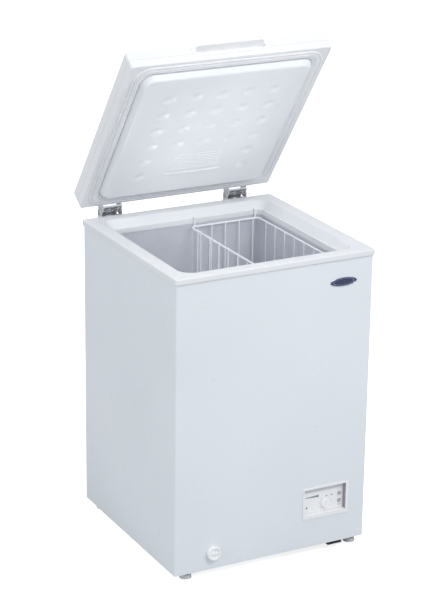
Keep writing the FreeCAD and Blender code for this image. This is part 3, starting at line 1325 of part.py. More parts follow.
def hinge_arm(side):
    """Arm on the lid's back wall, drawn closed: a plate, two cheeks to the pin, and the toe bar."""
    x = side * HINGE_X
    half = ARM_HALF
    face = LID_Y + 0.1
    low, high = LID_BOTTOM + 4, LID_BOTTOM + 44
    toe_y, toe_z = closed_toe()
    toe_y, toe_z = HINGE_Y + toe_y, HINGE_Z + toe_z
    front = toe_y - TOE_RADIUS
    cheek = [(face, low), (face, high, 3), (face + 12, high, 6), (HINGE_Y + 8, HINGE_Z + 7, 7.5),
             (HINGE_Y + 8, HINGE_Z - 8, 7.5), (HINGE_Y - 6, HINGE_Z - 8, 5), (toe_y, toe_z - 3.5),
             (front, toe_z - 3.0), (front, low - 2)]
    pieces = [block(x - half, x + half, face, face + HINGE_SHEET, low, high)]
    for hand in (-1, 1):
        inner, outer = sorted((x + hand * (half - HINGE_SHEET), x + hand * half))
        pieces.append(along_x(cheek, inner, outer))
    pieces.append(rod(V(x - half + 0.5, toe_y, toe_z), V(x + half - 0.5, toe_y, toe_z), TOE_RADIUS))
    bore = rod(V(x - 50, HINGE_Y, HINGE_Z), V(x + 50, HINGE_Y, HINGE_Z), PIN_RADIUS + PIN_CLEARANCE)
    holes = [rod(V(a, face - 1, z), V(a, face + 5, z), SCREW_RADIUS + 0.2)
             for a, z in lid_screw_places() if abs(a - x) < half]
    return joined(pieces).cut([bore] + holes)


def lid_screws():
    """Screws of both arms, drawn closed."""
    seat = LID_Y + 0.1 + HINGE_SHEET + 0.05
    return group([pan_screw(x, z, LID_Y - SCREW_LENGTH + 1, seat) for x, z in lid_screw_places()])


# ---------------------------------------------------------------- basket

def basket_ring():
    """Thick top wire with a hanger near each corner that hooks over the rim's ledge."""
    path = outline(rectangle(BASKET_LEFT, BASKET_RIGHT, -BASKET_Y, BASKET_Y, RING_CORNER),
                   lambda a, b: V(a, b, BASKET_TOP))
    start = path.OrderedVertexes[0].Point
    tangent = path.OrderedEdges[0].tangentAt(path.OrderedEdges[0].FirstParameter)
    section = Part.Wire(Part.Circle(start, tangent, RING_WIRE).toShape())
    ring = path.makePipeShell([section], True, False)
    return joined([ring] + [hanger(x, end) for x in hanger_places() for end in (-1, 1)])


def hanger_places():
    """X of the hangers at the front and back."""
    return BASKET_LEFT + HANGER_OFFSET, BASKET_RIGHT - HANGER_OFFSET


def hanger(x, end):
    """Wire up from the ring and outwards over the ledge."""
    hook_z = LEDGE_Z + HANGER_WIRE + SHEET_GAP
    tip = CORNER_Y + MOUTH_CORNER + RIM_LEDGE - 1.0
    points = [V(x, end * BASKET_Y, BASKET_TOP), V(x, end * BASKET_Y, hook_z), V(x, end * tip, hook_z)]
    return tube(points, HANGER_WIRE, 3.0)


def spaced(low, high, pitch):
    """Even places between two ends, about a pitch apart."""
    count = max(2, round((high - low) / pitch) + 1)
    return [low + (high - low) * i / (count - 1) for i in range(count)]


def basket_plan():
    """Left, right and end lines of the wall wires, just inside the top ring."""
    inset = RING_WIRE + GRID_WIRE - 0.2
    return BASKET_LEFT + inset, BASKET_RIGHT - inset, BASKET_Y - inset


def wire_places():
    """Where the wires stand: y along the left and right sides, x along the two ends."""
    left, right, end = basket_plan()
    count = int((2 * end - SIDE_FIRST - WIRE_INSET) / SIDE_PITCH) + 1
    ys = [end - SIDE_FIRST - SIDE_PITCH * i for i in range(count)]
    return ys, spaced(left + WIRE_INSET, right - WIRE_INSET, END_PITCH)


def basket_walls():
    """Upright wires of the four sides, and a wire along each foot, each one touching its neighbours."""
    left, right, end = basket_plan()
    low, high = BASKET_BOTTOM, BASKET_TOP + 1
    touch, clear = 2 * GRID_WIRE, WIRE_INSET / 2
    foot_z = low + 2 * GRID_WIRE
    ys, xs = wire_places()
    wires = []
    for x, hand in ((left, 1), (right, -1)):
        wires += [rod(V(x, y, low), V(x, y, high), GRID_WIRE) for y in ys]
        foot = [V(x + hand * touch, side * (end - clear), foot_z) for side in (-1, 1)]
        wires.append(rod(foot[0], foot[1], GRID_WIRE))
    for y, hand in ((-end, 1), (end, -1)):
        wires += [rod(V(x, y, low), V(x, y, high), GRID_WIRE) for x in xs]
        foot = [V(x, y + hand * touch, foot_z) for x in (left + clear, right - clear)]
        wires.append(rod(foot[0], foot[1], GRID_WIRE))
    return group(wires)


def basket_floor():
    """Wires from side to side, and wires from front to back under them, welded where they cross."""
    left, right, end = basket_plan()
    z = BASKET_BOTTOM - GRID_WIRE
    under = z - 2 * GRID_WIRE
    ys, xs = wire_places()
    wires = [rod(V(left - GRID_WIRE, y, z), V(right + GRID_WIRE, y, z), GRID_WIRE) for y in ys]
    wires += [rod(V(x, -end - GRID_WIRE, under), V(x, end + GRID_WIRE, under), GRID_WIRE) for x in xs]
    return group(wires)


# ---------------------------------------------------------------- assembly

def build():
    """Every node's shape as the freezer stands, lid open, before the move along Y."""
    (fl, fr) = foot_places()[:2]
    fixed = {
        "outer_wrap": outer_wrap(), "back_panel": back_panel(), "bottom_panel": bottom_panel(),
        "inner_liner": inner_liner(), "rim_frame": rim_frame(), "foam_insulation": foam_insulation(),
        "evaporator_tube": evaporator_tube(), "condenser_tube": condenser_tube(),
        "compartment_lining": compartment_lining(), "compressor_base": compressor_base(),
        "compressor_can": compressor_can(), "compressor_grommets": grommets(),
        "compressor_bolts": compressor_bolts(), "base_bolts": base_bolts(), "relay_cover": relay_cover(),
        "suction_pipe": suction_pipe(), "discharge_pipe": discharge_pipe(), "liquid_pipe": liquid_pipe(),
        "filter_drier": filter_drier(), "capillary_tube": capillary_tube(), "rear_grille": rear_grille(),
        "side_vent": side_vent(), "cord_gland": cord_gland(), "cabinet_screws": cabinet_screws(),
        "control_housing": control_housing(), "control_plate": control_plate(),
        "indicator_lamps": indicator_lamps(), "thermostat_body": thermostat_body(),
        "thermostat_sensor": thermostat_sensor(), "badge_plate": badge_plate(), "badge_rim": badge_rim(),
        "drain_tube": drain_tube(), "drain_socket": drain_socket(), "rear_feet": rear_feet(),
        "foot_nuts": foot_nuts(), "hinge_casing_left": hinge_casing(-1),
        "hinge_casing_right": hinge_casing(1), "hinge_pins": hinge_pins(),
        "hinge_springs_left": hinge_springs(-1), "hinge_springs_right": hinge_springs(1),
    }
    moving = {
        "thermostat_knob": thermostat_knob(), "drain_cap": drain_cap(), "drain_plug": drain_plug(),
        "foot_pad_front_left": foot_pad(*fl), "foot_stud_front_left": foot_stud(*fl),
        "foot_pad_front_right": foot_pad(*fr), "foot_stud_front_right": foot_stud(*fr),
        "basket_ring": basket_ring(), "basket_walls": basket_walls(), "basket_floor": basket_floor(),
    }
    lid = {
        "lid_top": lid_top(), "lid_frame": lid_frame(), "lid_lining": lid_lining(), "lid_foam": lid_foam(),
        "lid_gasket": lid_gasket(), "lid_handle": lid_handle(), "hinge_arm_left": hinge_arm(-1),
        "hinge_arm_right": hinge_arm(1), "lid_screws": lid_screws(),
    }
    return {**fixed, **moving, **{name: opened(shape) for name, shape in lid.items()}}


def origin_shift(shapes):
    """Move along Y that brings the middle of the whole object over the origin."""
    boxes = [shape.optimalBoundingBox(False, False) for shape in shapes.values()]
    return -(min(box.YMin for box in boxes) + max(box.YMax for box in boxes)) / 2


def main():
    """Write one STEP file per node."""
    os.makedirs("parts", exist_ok=True)
    shapes = build()
    shift = origin_shift(shapes)
    print(f"shift along Y {shift:.3f} mm")
    for name, shape in shapes.items():
        shape.translate(Y * shift)
        shape.exportStep(f"parts/{name}.step")
    print(len(shapes), "nodes")


if __name__ == "__main__":
    main()
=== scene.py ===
# %% [markdown]
# # A small chest freezer with its lid open
# The freezer is a white enamelled steel box with a moulded rim, a sprung lid and a wire basket.
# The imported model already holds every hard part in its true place, so it is loaded first and never moved.
# Each step after that adds what the plain solids lack: soft edges, formed surfaces and real finishes.

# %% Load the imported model
import json
from math import cos, pi, radians, sin

import bmesh
import bpy
import numpy as np
from mathutils import Matrix, Vector


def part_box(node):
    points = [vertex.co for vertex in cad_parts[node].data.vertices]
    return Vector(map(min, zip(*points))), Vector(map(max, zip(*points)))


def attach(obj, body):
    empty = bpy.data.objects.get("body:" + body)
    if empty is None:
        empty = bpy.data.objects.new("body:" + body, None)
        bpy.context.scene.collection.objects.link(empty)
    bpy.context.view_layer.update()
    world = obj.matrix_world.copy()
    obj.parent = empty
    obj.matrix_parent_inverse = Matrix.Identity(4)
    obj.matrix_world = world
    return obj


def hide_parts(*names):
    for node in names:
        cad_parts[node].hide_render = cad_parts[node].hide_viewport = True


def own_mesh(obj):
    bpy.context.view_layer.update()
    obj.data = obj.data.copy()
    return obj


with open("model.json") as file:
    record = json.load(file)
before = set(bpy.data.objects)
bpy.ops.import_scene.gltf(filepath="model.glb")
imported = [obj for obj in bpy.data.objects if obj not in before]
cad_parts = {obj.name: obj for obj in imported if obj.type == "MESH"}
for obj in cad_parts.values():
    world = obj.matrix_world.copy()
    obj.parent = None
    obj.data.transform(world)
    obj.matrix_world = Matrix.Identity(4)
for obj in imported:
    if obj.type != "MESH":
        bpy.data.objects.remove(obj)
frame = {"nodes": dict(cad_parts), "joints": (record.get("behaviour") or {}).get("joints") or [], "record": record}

MM = 0.001
scene = bpy.context.scene
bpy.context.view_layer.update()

# %% [markdown]
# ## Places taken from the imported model
# Sizes are in millimetres from here on, because that is how the freezer's drawings would give them.
# The cabinet, rim and lid hinge give every other place, so one function reads their boxes.

# %% Read the main places
def box_mm(node):
    """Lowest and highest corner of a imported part, in millimetres."""
    low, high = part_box(node)
    return np.array(low) / MM, np.array(high) / MM


wrap_low, wrap_high = box_mm("outer_wrap")
rim_high = box_mm("rim_frame")[1]
MIDDLE_Y = (wrap_low[1] + wrap_high[1]) / 2
FRONT = wrap_low[1]
RIM_TOP = rim_high[2]
RIM_X = rim_high[0]
RIM_Y = rim_high[1] - MIDDLE_Y
hinge = next(joint for joint in frame["joints"] if joint["name"] == "lid_hinge")
HINGE_Y, HINGE_Z = (value / MM for value in hinge["pos_m"][1:])
LID_OPEN = -hinge["range_deg"][0]
print(f"cabinet middle y {MIDDLE_Y:.1f}, rim top {RIM_TOP:.1f}, lid open {LID_OPEN} degrees")

# %% [markdown]
# ## Meshes from arrays
# A formed part is a profile carried round a path, or a height over a flat grid.
# Both give a grid of points, so a few helpers turn any grid into a closed mesh with its normals outwards.

# %% Grid and mesh helpers
def grid_faces(rows, columns, wrap_rows=False, wrap_columns=False):
    """Quads of a grid numbered row by row; a wrapped side joins its last line to its first."""
    row = np.arange(rows if wrap_rows else rows - 1)
    column = np.arange(columns if wrap_columns else columns - 1)
    a, b = np.meshgrid(row, column, indexing="ij")
    c, d = (a + 1) % rows, (b + 1) % columns
    corners = [a * columns + b, c * columns + b, c * columns + d, a * columns + d]
    return np.stack(corners, axis=-1).reshape(-1, 4)


def add_mesh(name, parts, weld=0.01):
    """One mesh object from (points in mm, faces) parts, its doubles merged, its faces outwards."""
    clouds = [np.reshape(points, (-1, 3)) for points, _ in parts]
    starts = np.cumsum([0] + [len(cloud) for cloud in clouds[:-1]])
    faces = [[int(i) + int(start) for i in face]
             for start, (_, part) in zip(starts, parts) for face in part]
    mesh = bpy.data.meshes.new(name)
    mesh.from_pydata((np.concatenate(clouds) * MM).tolist(), [], faces)
    work = bmesh.new()
    work.from_mesh(mesh)
    bmesh.ops.remove_doubles(work, verts=work.verts, dist=weld * MM)
    bmesh.ops.dissolve_degenerate(work, edges=work.edges, dist=weld * MM / 10)
    bmesh.ops.recalc_face_normals(work, faces=work.faces)
    work.to_mesh(mesh)
    work.free()
    made = bpy.data.objects.new(name, mesh)
    scene.collection.objects.link(made)
    return made


def smooth(piece, angle=35):
    """Smooth shading that stays sharp where two faces meet at more than an angle."""
    piece.data.shade_smooth()
    piece.data.set_sharp_from_angle(angle=radians(angle))
    return piece


def soften(piece, width, segments=2, angle=30):
    """Round every edge sharper than an angle by a small width in mm."""
    bevel = piece.modifiers.new("soft_edges", "BEVEL")
    bevel.width = width * MM
    bevel.segments = segments
    bevel.limit_method = "ANGLE"
    bevel.angle_limit = radians(angle)
    bevel.harden_normals = False
    return piece


# %% [markdown]
# Corners of a profile are drawn sharp and then rounded, as on a workshop drawing.
# A rounded rectangle is walked once round: each point of a profile is its corner's centre plus a radius
# along the outward direction, so one profile makes a rim, a gasket or a bezel.

# %% Profiles and rings
def rounded(corners, steps=5):
    """Outline through (a, b, radius) corners.

    An arc of that radius is tangent to both sides of its corner: its centre lies on the bisector at
    radius / sin(half the angle), and it touches each side at radius / tan(half the angle).
    """
    corners = [(*corner, 0)[:3] for corner in corners]
    made = []
    for i, (a, b, radius) in enumerate(corners):
        here = np.array([a, b], float)
        before = np.array(corners[i - 1][:2], float) - here
        after = np.array(corners[(i + 1) % len(corners)][:2], float) - here
        if radius == 0:
            made.append(here[None])
            continue
        before, after = before / np.linalg.norm(before), after / np.linalg.norm(after)
        half = np.arccos(np.clip(before @ after, -1, 1)) / 2
        bisector = (before + after) / np.linalg.norm(before + after)
        centre = here + bisector * radius / np.sin(half)
        start = here + before * radius / np.tan(half) - centre
        end = here + after * radius / np.tan(half) - centre
        sweep = np.arctan2(start[0] * end[1] - start[1] * end[0], start @ end)
        turn = np.linspace(0, sweep, steps + 1)[:, None]
        across = np.array([-start[1], start[0]])
        made.append(centre + start * np.cos(turn) + across * np.sin(turn))
    return np.concatenate(made)


def ring(arc_steps=8, side_steps=1, shares=None):
    """Corner signs and outward directions once round a rounded rectangle, anticlockwise.

    The points between two corners lie at even steps, or at the four sides' own shares of the way.
    """
    signs, directions = [], []
    shares = shares or [np.linspace(0, 1, side_steps + 1)] * 4
    corner = np.array([[1, 1], [-1, 1], [-1, -1], [1, -1]], float)
    for quarter in range(4):
        angle = np.linspace(quarter, quarter + 1, arc_steps + 1) * pi / 2
        directions.append(np.stack([np.cos(angle), np.sin(angle)], axis=1))
        signs.append(np.repeat(corner[quarter][None], arc_steps + 1, axis=0))
        share = shares[quarter][1:-1, None]
        signs.append(corner[quarter] * (1 - share) + corner[(quarter + 1) % 4] * share)
        directions.append(np.repeat(directions[-1][-1:], len(share), axis=0))
    return np.concatenate(signs), np.concatenate(directions)


def carry(radii, heights, centres, path=None, middle=(0, 0)):
    """Profile carried round a ring: middle + sign * corner centre + radius * direction."""
    signs, directions = path or ring()
    centres = np.broadcast_to(np.asarray(centres, float), (len(radii), 2))
    flat = (np.asarray(middle, float) + signs[:, None] * centres[None]
            + directions[:, None] * radii[None, :, None])
    height = np.broadcast_to(heights[None, :, None], flat.shape[:2] + (1,))
    return np.concatenate([flat, height], axis=2)


def carried_ring(profile, centre, **options):
    """Closed tube whose section is a rounded profile of (radius, height, corner radius) points."""
    section = rounded(profile)
    points = carry(section[:, 0], section[:, 1], centre, **options)
    return points, grid_faces(points.shape[0], points.shape[1], True, True)


# %% [markdown]
# ## Camera, light and floor
# A long lens from a little above and to the left shows the front, the left side and the inside at once.
# The light is a white tent: an even surround, with softboxes in front, overhead and at the left.
# A small card down in the tank lights the lid's lining, as a reflector would in a studio.
# The camera sees the surround pure white, but it lights the freezer a little less than that.

# %% Camera
CAMERA_AZIMUTH, CAMERA_ELEVATION, CAMERA_ROLL = -28.1431, 19.6064, 0.8136
CAMERA_PLACE = Vector((-2.3544, -4.3754 + MIDDLE_Y * MM, 2.3666))
CAMERA_LENS, CAMERA_SENSOR = 123.14, 36.0

azimuth, elevation, roll = (radians(v) for v in (CAMERA_AZIMUTH, CAMERA_ELEVATION, CAMERA_ROLL))
backward = Vector((sin(azimuth) * cos(elevation), -cos(azimuth) * cos(elevation), sin(elevation)))
rightward = (-backward).cross(Vector((0, 0, 1))).normalized()
upward = rightward.cross(-backward)
turned_right = rightward * cos(roll) + upward * sin(roll)
turned_up = upward * cos(roll) - rightward * sin(roll)
camera = bpy.data.objects.new("camera", bpy.data.cameras.new("camera"))
scene.collection.objects.link(camera)
turn = Matrix((turned_right, turned_up, backward)).transposed().to_4x4()
camera.matrix_world = Matrix.Translation(CAMERA_PLACE) @ turn
camera.data.lens = CAMERA_LENS
camera.data.sensor_width = CAMERA_SENSOR
camera.data.clip_end = 100
scene.camera = camera
scene.view_settings.view_transform = "Standard"
print("camera at", [round(v, 2) for v in CAMERA_PLACE])


# %% [markdown]
# Every colour below is an sRGB code, as on a paint chart, and one function turns it to linear light.
# One other function adds any node, so a lamp's, a floor's or a finish's nodes are all made alike.

# %% Nodes and colours
def colour(code):
    """Linear RGBA from an sRGB hex code, by the sRGB curve.

    A channel c is c / 12.92 up to 0.04045, and ((c + 0.055) / 1.055) ** 2.4 above it.
    """
    parts = [int(code[i:i + 2], 16) / 255 for i in (1, 3, 5)]
    return tuple(c / 12.92 if c <= 0.04045 else ((c + 0.055) / 1.055) ** 2.4 for c in parts) + (1.0,)


def add_node(tree, kind, inputs=None, **settings):
    """Add a node with its settings, and give each named input a value or a link."""
    made = tree.nodes.new(kind)
    for name, value in settings.items():
        setattr(made, name, value)
    for socket, value in (inputs or {}).items():
        if isinstance(value, bpy.types.NodeSocket):
            tree.links.new(value, made.inputs[socket])
        else:
            made.inputs[socket].default_value = value
    return made


# %% Surround and lamps
SURROUND, FLOOR_GLOW = 0.74, 0.78
WHITE = (1.0, 1.0, 1.0, 1.0)


def camera_and_other(tree, seen, other):
    """Shader that shows the camera one thing and gives every other ray another."""
    ray = add_node(tree, "ShaderNodeLightPath").outputs["Is Camera Ray"]
    return add_node(tree, "ShaderNodeMixShader", {0: ray, 1: other, 2: seen}).outputs[0]


world = bpy.data.worlds.new("white_tent")
world.use_nodes = True
scene.world = world
world_tree = world.node_tree
world_tree.nodes.clear()
tent = add_node(world_tree, "ShaderNodeBackground", {"Color": colour("#f8fbff"), "Strength": SURROUND})
white = add_node(world_tree, "ShaderNodeBackground", {"Color": WHITE, "Strength": 1.0})
surround = camera_and_other(world_tree, white.outputs[0], tent.outputs[0])
add_node(world_tree, "ShaderNodeOutputWorld", {"Surface": surround})


def add_softbox(name, place, target, power, size, spread=180):
    """A square soft lamp in watts and metres, turned towards a target, within a spread in degrees."""
    lamp = bpy.data.objects.new(name, bpy.data.lights.new(name, "AREA"))
    lamp.data.energy = power
    lamp.data.size = size
    lamp.data.spread = radians(spread)
    lamp.location = place
    lamp.rotation_mode = "QUATERNION"
    lamp.rotation_quaternion = (Vector(place) - Vector(target)).to_track_quat("Z", "Y")
    lamp.visible_camera = False
    scene.collection.objects.link(lamp)


add_softbox("front_softbox", (0.5, -2.4, 2.7), (0, 0, 0.7), 36, 1.2)
add_softbox("top_softbox", (-0.1, -0.9, 3.0), (0, -0.1, 0.8), 1, 1.6)
add_softbox("side_softbox", (-3.0, -0.3, 2.2), (0, 0, 0.7), 21, 1.6)
add_softbox("lining_card", (-0.02, -0.05, 0.36), (0.02, 0.06, 1.06), 0.2, 0.24, 50)

# %% [markdown]
# The floor is white paper. The camera sees it bright, with only a faint shadow under the feet.
# To every other ray it is greyer, so the lower part of each side gets less light than the upper part.

# %% Floor
FLOOR_HALF = 30.0 / MM
floor_corners = np.array([[-1, -1, 0], [1, -1, 0], [1, 1, 0], [-1, 1, 0]]) * FLOOR_HALF
floor = add_mesh("floor", [(floor_corners, [[0, 1, 2, 3]])])
floor_paint = bpy.data.materials.new("white_backdrop_paper")
floor_paint.use_nodes = True
floor_tree = floor_paint.node_tree
floor_tree.nodes.clear()
paper = add_node(floor_tree, "ShaderNodeBsdfDiffuse", {"Color": colour("#fafafa")}).outputs[0]
glow = add_node(floor_tree, "ShaderNodeEmission", {"Color": WHITE, "Strength": FLOOR_GLOW}).outputs[0]
bright = add_node(floor_tree, "ShaderNodeAddShader", {0: paper, 1: glow}).outputs[0]
grey = add_node(floor_tree, "ShaderNodeBsdfDiffuse", {"Color": colour("#c8cacc")}).outputs[0]
floor_look = camera_and_other(floor_tree, bright, grey)
add_node(floor_tree, "ShaderNodeOutputMaterial", {"Surface": floor_look})
floor.data.materials.append(floor_paint)

# %% [markdown]
# ## Finishes
# A finish starts from what the real one is and how it was made, and each gets a pattern at a real size.
# The freezer is seen whole, where 2.5 mm is the finest thing that shows.
# A bump finer than 8 mm only flickers at that distance, so it is drawn coarser, and its comment says so.
# Every pattern reads Object coordinates, which are metres, so a noise scale is 1 / size in metres.

# %% Helpers that every finish uses
PATTERN_LOW, PATTERN_HIGH = 0.3, 0.7  # nearly all of a noise lies between these


def start_finish(name, code, roughness, metallic=0.0, ior=1.5, coat=0.0):
    """A material with its shader's own values set, as (material, tree, shader, object coordinates)."""
    material = bpy.data.materials.new(name)
    material.use_nodes = True
    tree = material.node_tree
    shader = tree.nodes["Principled BSDF"]
    shader.inputs["Base Color"].default_value = colour(code)
    shader.inputs["Roughness"].default_value = roughness
    shader.inputs["Metallic"].default_value = metallic
    shader.inputs["Coat Weight"].default_value = coat
    if metallic == 0.0:
        shader.inputs["IOR"].default_value = ior
    place = add_node(tree, "ShaderNodeTexCoord").outputs["Object"]
    return material, tree, shader, place


def stretched(tree, place, stretch):
    """The same coordinates squeezed along each axis, for a grain that runs one way."""
    return add_node(tree, "ShaderNodeMapping", {"Vector": place, "Scale": stretch}).outputs["Vector"]


def noise(tree, place, size_mm, detail=2.0):
    """Soft noise, 0 to 1, whose features are about a size in millimetres."""
    inputs = {"Vector": place, "Scale": 1 / MM / size_mm, "Detail": detail}
    return add_node(tree, "ShaderNodeTexNoise", inputs).outputs["Fac"]


def cells(tree, place, size_mm, output):
    """Crystals or foam cells about a size in millimetres, as a colour of their own or a distance."""
    inputs = {"Vector": place, "Scale": 1 / MM / size_mm}
    return add_node(tree, "ShaderNodeTexVoronoi", inputs).outputs[output]


def vary_colour(tree, shader, amount, first, second):
    """Base colour that goes from one hex code to another as a 0 to 1 pattern does."""
    ramp = add_node(tree, "ShaderNodeValToRGB", {"Fac": amount})
    ends = ((PATTERN_LOW, first), (PATTERN_HIGH, second))
    for element, (position, code) in zip(ramp.color_ramp.elements, ends):
        element.position, element.color = position, colour(code)
    tree.links.new(ramp.outputs["Color"], shader.inputs["Base Color"])


def vary_roughness(tree, shader, amount, low, high):
    """Roughness that goes from low to high as a pattern does."""
    spread = add_node(tree, "ShaderNodeMapRange", {
        "Value": amount, "From Min": PATTERN_LOW, "From Max": PATTERN_HIGH, "To Min": low, "To Max": high})
    tree.links.new(spread.outputs["Result"], shader.inputs["Roughness"])


def relief(tree, shader, *layers):
    """Bump of one or more (pattern, depth in mm) layers, one on top of the other."""
    normal = None
    for height, depth in layers:
        inputs = {"Height": height, "Distance": depth * MM, "Strength": 1.0}
        if normal:
            inputs["Normal"] = normal
        normal = add_node(tree, "ShaderNodeBump", inputs).outputs["Normal"]
    tree.links.new(normal, shader.inputs["Normal"])


# %% [markdown]
# ### Baked enamel on steel sheet
# The cabinet is bent from sheet and coated with white polyester enamel, baked on.
# It has a faint orange peel, and the sheet bows a little between its bends, so reflections drift slowly.
# Orange peel is about 1.5 mm across, drawn here 10 mm so that it shows.

# %% Enamelled steel
def enamelled_steel(name, code, shade, roughness=0.3):
    """Painted sheet: long waves 300 mm, orange peel 10 mm, and hand-sized changes of gloss."""
    material, tree, shader, place = start_finish(name, code, roughness, coat=0.25)
    shader.inputs["Coat Roughness"].default_value = 0.2
    vary_colour(tree, shader, noise(tree, place, 320, 1.0), code, shade)
    vary_roughness(tree, shader, noise(tree, place, 110, 1.0), roughness - 0.03, roughness + 0.05)
    relief(tree, shader, (noise(tree, place, 300, 0.0), 0.9), (noise(tree, place, 10, 0.0), 0.01))
    return material


# %% [markdown]
# ### White mouldings
# The rim, the lid, its grip and the panel are injection-moulded ABS.
# Moulded ABS is a warmer, softer white than enamel. It has a fine spark-eroded grain and slight sink marks.
# The grain is 0.3 mm in life, drawn 9 mm and very shallow here, because anything finer only flickers.

# %% Moulded ABS
def moulded_plastic(name, code, shade, roughness=0.36, grain=0.006, sink=0.25):
    """Injection-moulded plastic: sink marks 90 mm, grain 9 mm, faint flow marks in the gloss."""
    material, tree, shader, place = start_finish(name, code, roughness, ior=1.53)
    flow = noise(tree, place, 55, 2.0)
    vary_colour(tree, shader, noise(tree, place, 120, 2.0), code, shade)
    vary_roughness(tree, shader, flow, roughness - 0.03, roughness + 0.04)
    relief(tree, shader, (noise(tree, place, 90, 0.0), sink), (noise(tree, place, 9, 0.0), grain))
    return material


# %% [markdown]
# ### Formed lining and soft seal
# The lid's lining is polystyrene sheet sucked down over a mould, so it is glossy and a little uneven.
# The seal is plasticised vinyl: matt, slightly translucent and softer in its highlights.

# %% Vacuum-formed polystyrene and vinyl
def formed_sheet(name, code, shade):
    """Vacuum-formed sheet: broad gloss, waves 60 mm where it stretched, texture 1 mm drawn 9 mm."""
    material, tree, shader, place = start_finish(name, code, 0.34, ior=1.59)
    vary_colour(tree, shader, noise(tree, place, 150, 2.0), code, shade)
    vary_roughness(tree, shader, noise(tree, place, 40, 3.0), 0.3, 0.42)
    relief(tree, shader, (noise(tree, place, 60, 1.0), 0.4), (noise(tree, place, 9, 1.0), 0.01))
    return material


def soft_vinyl(name, code, shade):
    """Extruded vinyl: matt, with drag lines 1 mm apart drawn 8 mm, and a trace of dust."""
    material, tree, shader, place = start_finish(name, code, 0.55, ior=1.52)
    shader.inputs["Subsurface Weight"].default_value = 0.1
    shader.inputs["Subsurface Radius"].default_value = (0.004, 0.004, 0.004)
    vary_colour(tree, shader, noise(tree, place, 35, 4.0), code, shade)
    vary_roughness(tree, shader, noise(tree, place, 12, 3.0), 0.5, 0.64)
    relief(tree, shader, (noise(tree, place, 8, 1.0), 0.015))
    return material


# %% [markdown]
# ### Bare metals
# The tank is mill-finish aluminium: rolled grain runs up its walls, and handling leaves broad dull patches.
# Zinc on the back and base is galvanised, which freezes into spangles the size of a fingernail.
# Screws and pins are bright zinc plate, springs are drawn and oiled wire, and the tubes are dull copper.

# %% Aluminium sheet
def mill_aluminium(name, code, shade):
    """Rolled sheet: grain 3 mm across, 100 mm long up the wall, dull patches 80 mm, dents 140 mm."""
    material, tree, shader, place = start_finish(name, code, 0.42, metallic=0.35)
    grain = noise(tree, stretched(tree, place, (1.0, 1.0, 0.03)), 3, 3.0)
    patches = noise(tree, place, 80, 5.0)
    vary_colour(tree, shader, patches, code, shade)
    vary_roughness(tree, shader, patches, 0.36, 0.5)
    relief(tree, shader, (noise(tree, place, 140, 1.0), 1.8), (grain, 0.02))
    return material


def spangled_zinc(name, code, shade):
    """Galvanised sheet: crystals 12 mm across, each its own grey and its own gloss."""
    material, tree, shader, place = start_finish(name, code, 0.45, metallic=0.6)
    warp = {"Fac": 0.02, "Color1": place, "Color2": noise(tree, place, 9, 2.0)}
    warped = add_node(tree, "ShaderNodeMixRGB", warp).outputs["Color"]
    grey = add_node(tree, "ShaderNodeRGBToBW", {"Color": cells(tree, warped, 12, "Color")}).outputs["Val"]
    vary_colour(tree, shader, grey, code, shade)
    vary_roughness(tree, shader, grey, 0.32, 0.5)
    relief(tree, shader, (grey, 0.03), (noise(tree, place, 200, 0.0), 1.0))
    return material


def plated_metal(name, code, shade, roughness):
    """Plated or drawn metal: die marks 0.5 mm drawn 1.5 mm, and stains about 8 mm across."""
    material, tree, shader, place = start_finish(name, code, roughness, metallic=1.0)
    stains = noise(tree, place, 8, 3.0)
    vary_colour(tree, shader, stains, code, shade)
    vary_roughness(tree, shader, stains, roughness - 0.06, roughness + 0.12)
    relief(tree, shader, (noise(tree, place, 1.5, 2.0), 0.02))
    return material


# %% [markdown]
# ### Coated wire, dark enamel, rubber and foam
# The basket is steel wire dipped in white plastic, which pools slightly and shines.
# The compressor is sprayed black, thick and slightly pebbled. The foam shows only where the skin is cut.

# %% Coatings, rubber and foam
def dipped_coating(name, code, shade):
    """Dip-coated wire: thick glossy plastic with sags 14 mm long and pinholes."""
    material, tree, shader, place = start_finish(name, code, 0.3, ior=1.5, coat=0.2)
    sags = noise(tree, stretched(tree, place, (1.0, 1.0, 0.4)), 6, 2.0)
    vary_colour(tree, shader, noise(tree, place, 30, 3.0), code, shade)
    vary_roughness(tree, shader, sags, 0.26, 0.4)
    relief(tree, shader, (sags, 0.12))
    return material


def dark_coat(name, code, shade, roughness, pebble_mm, depth):
    """Sprayed paint, moulded black plastic or rubber: pebbled surface with dusty high spots."""
    material, tree, shader, place = start_finish(name, code, roughness)
    vary_colour(tree, shader, noise(tree, place, 25, 5.0), code, shade)
    vary_roughness(tree, shader, noise(tree, place, 18, 3.0), roughness - 0.08, roughness + 0.1)
    relief(tree, shader, (noise(tree, place, pebble_mm, 2.0), depth))
    return material


def rigid_foam(name, code, shade):
    """Cut polyurethane foam: cells about 1 mm, drawn 2 mm, in a cream that yellows in patches."""
    material, tree, shader, place = start_finish(name, code, 0.9)
    bubbles = cells(tree, place, 2, "Distance")
    vary_colour(tree, shader, noise(tree, place, 50, 4.0), code, shade)
    vary_roughness(tree, shader, bubbles, 0.82, 0.95)
    relief(tree, shader, (bubbles, 0.4))
    return material


# %% [markdown]
# ### Small bright things
# The badge is dark blue enamel under a clear dome, in a thin bright-plated ring.
# The lamps are tinted lenses that let a little light in.

# %% Badge enamel and lamp lenses
def domed_enamel(name, code, shade):
    """Blue enamel under clear resin: metal-flake specks 1 mm, drawn 2 mm, and a hard clear coat."""
    material, tree, shader, place = start_finish(name, code, 0.28, coat=1.0)
    shader.inputs["Coat Roughness"].default_value = 0.04
    drift = noise(tree, stretched(tree, place, (0.4, 1.0, 1.0)), 9, 3.0)
    vary_colour(tree, shader, drift, code, shade)
    vary_roughness(tree, shader, noise(tree, place, 2, 2.0), 0.22, 0.36)
    relief(tree, shader, (noise(tree, place, 2, 1.0), 0.02))
    return material


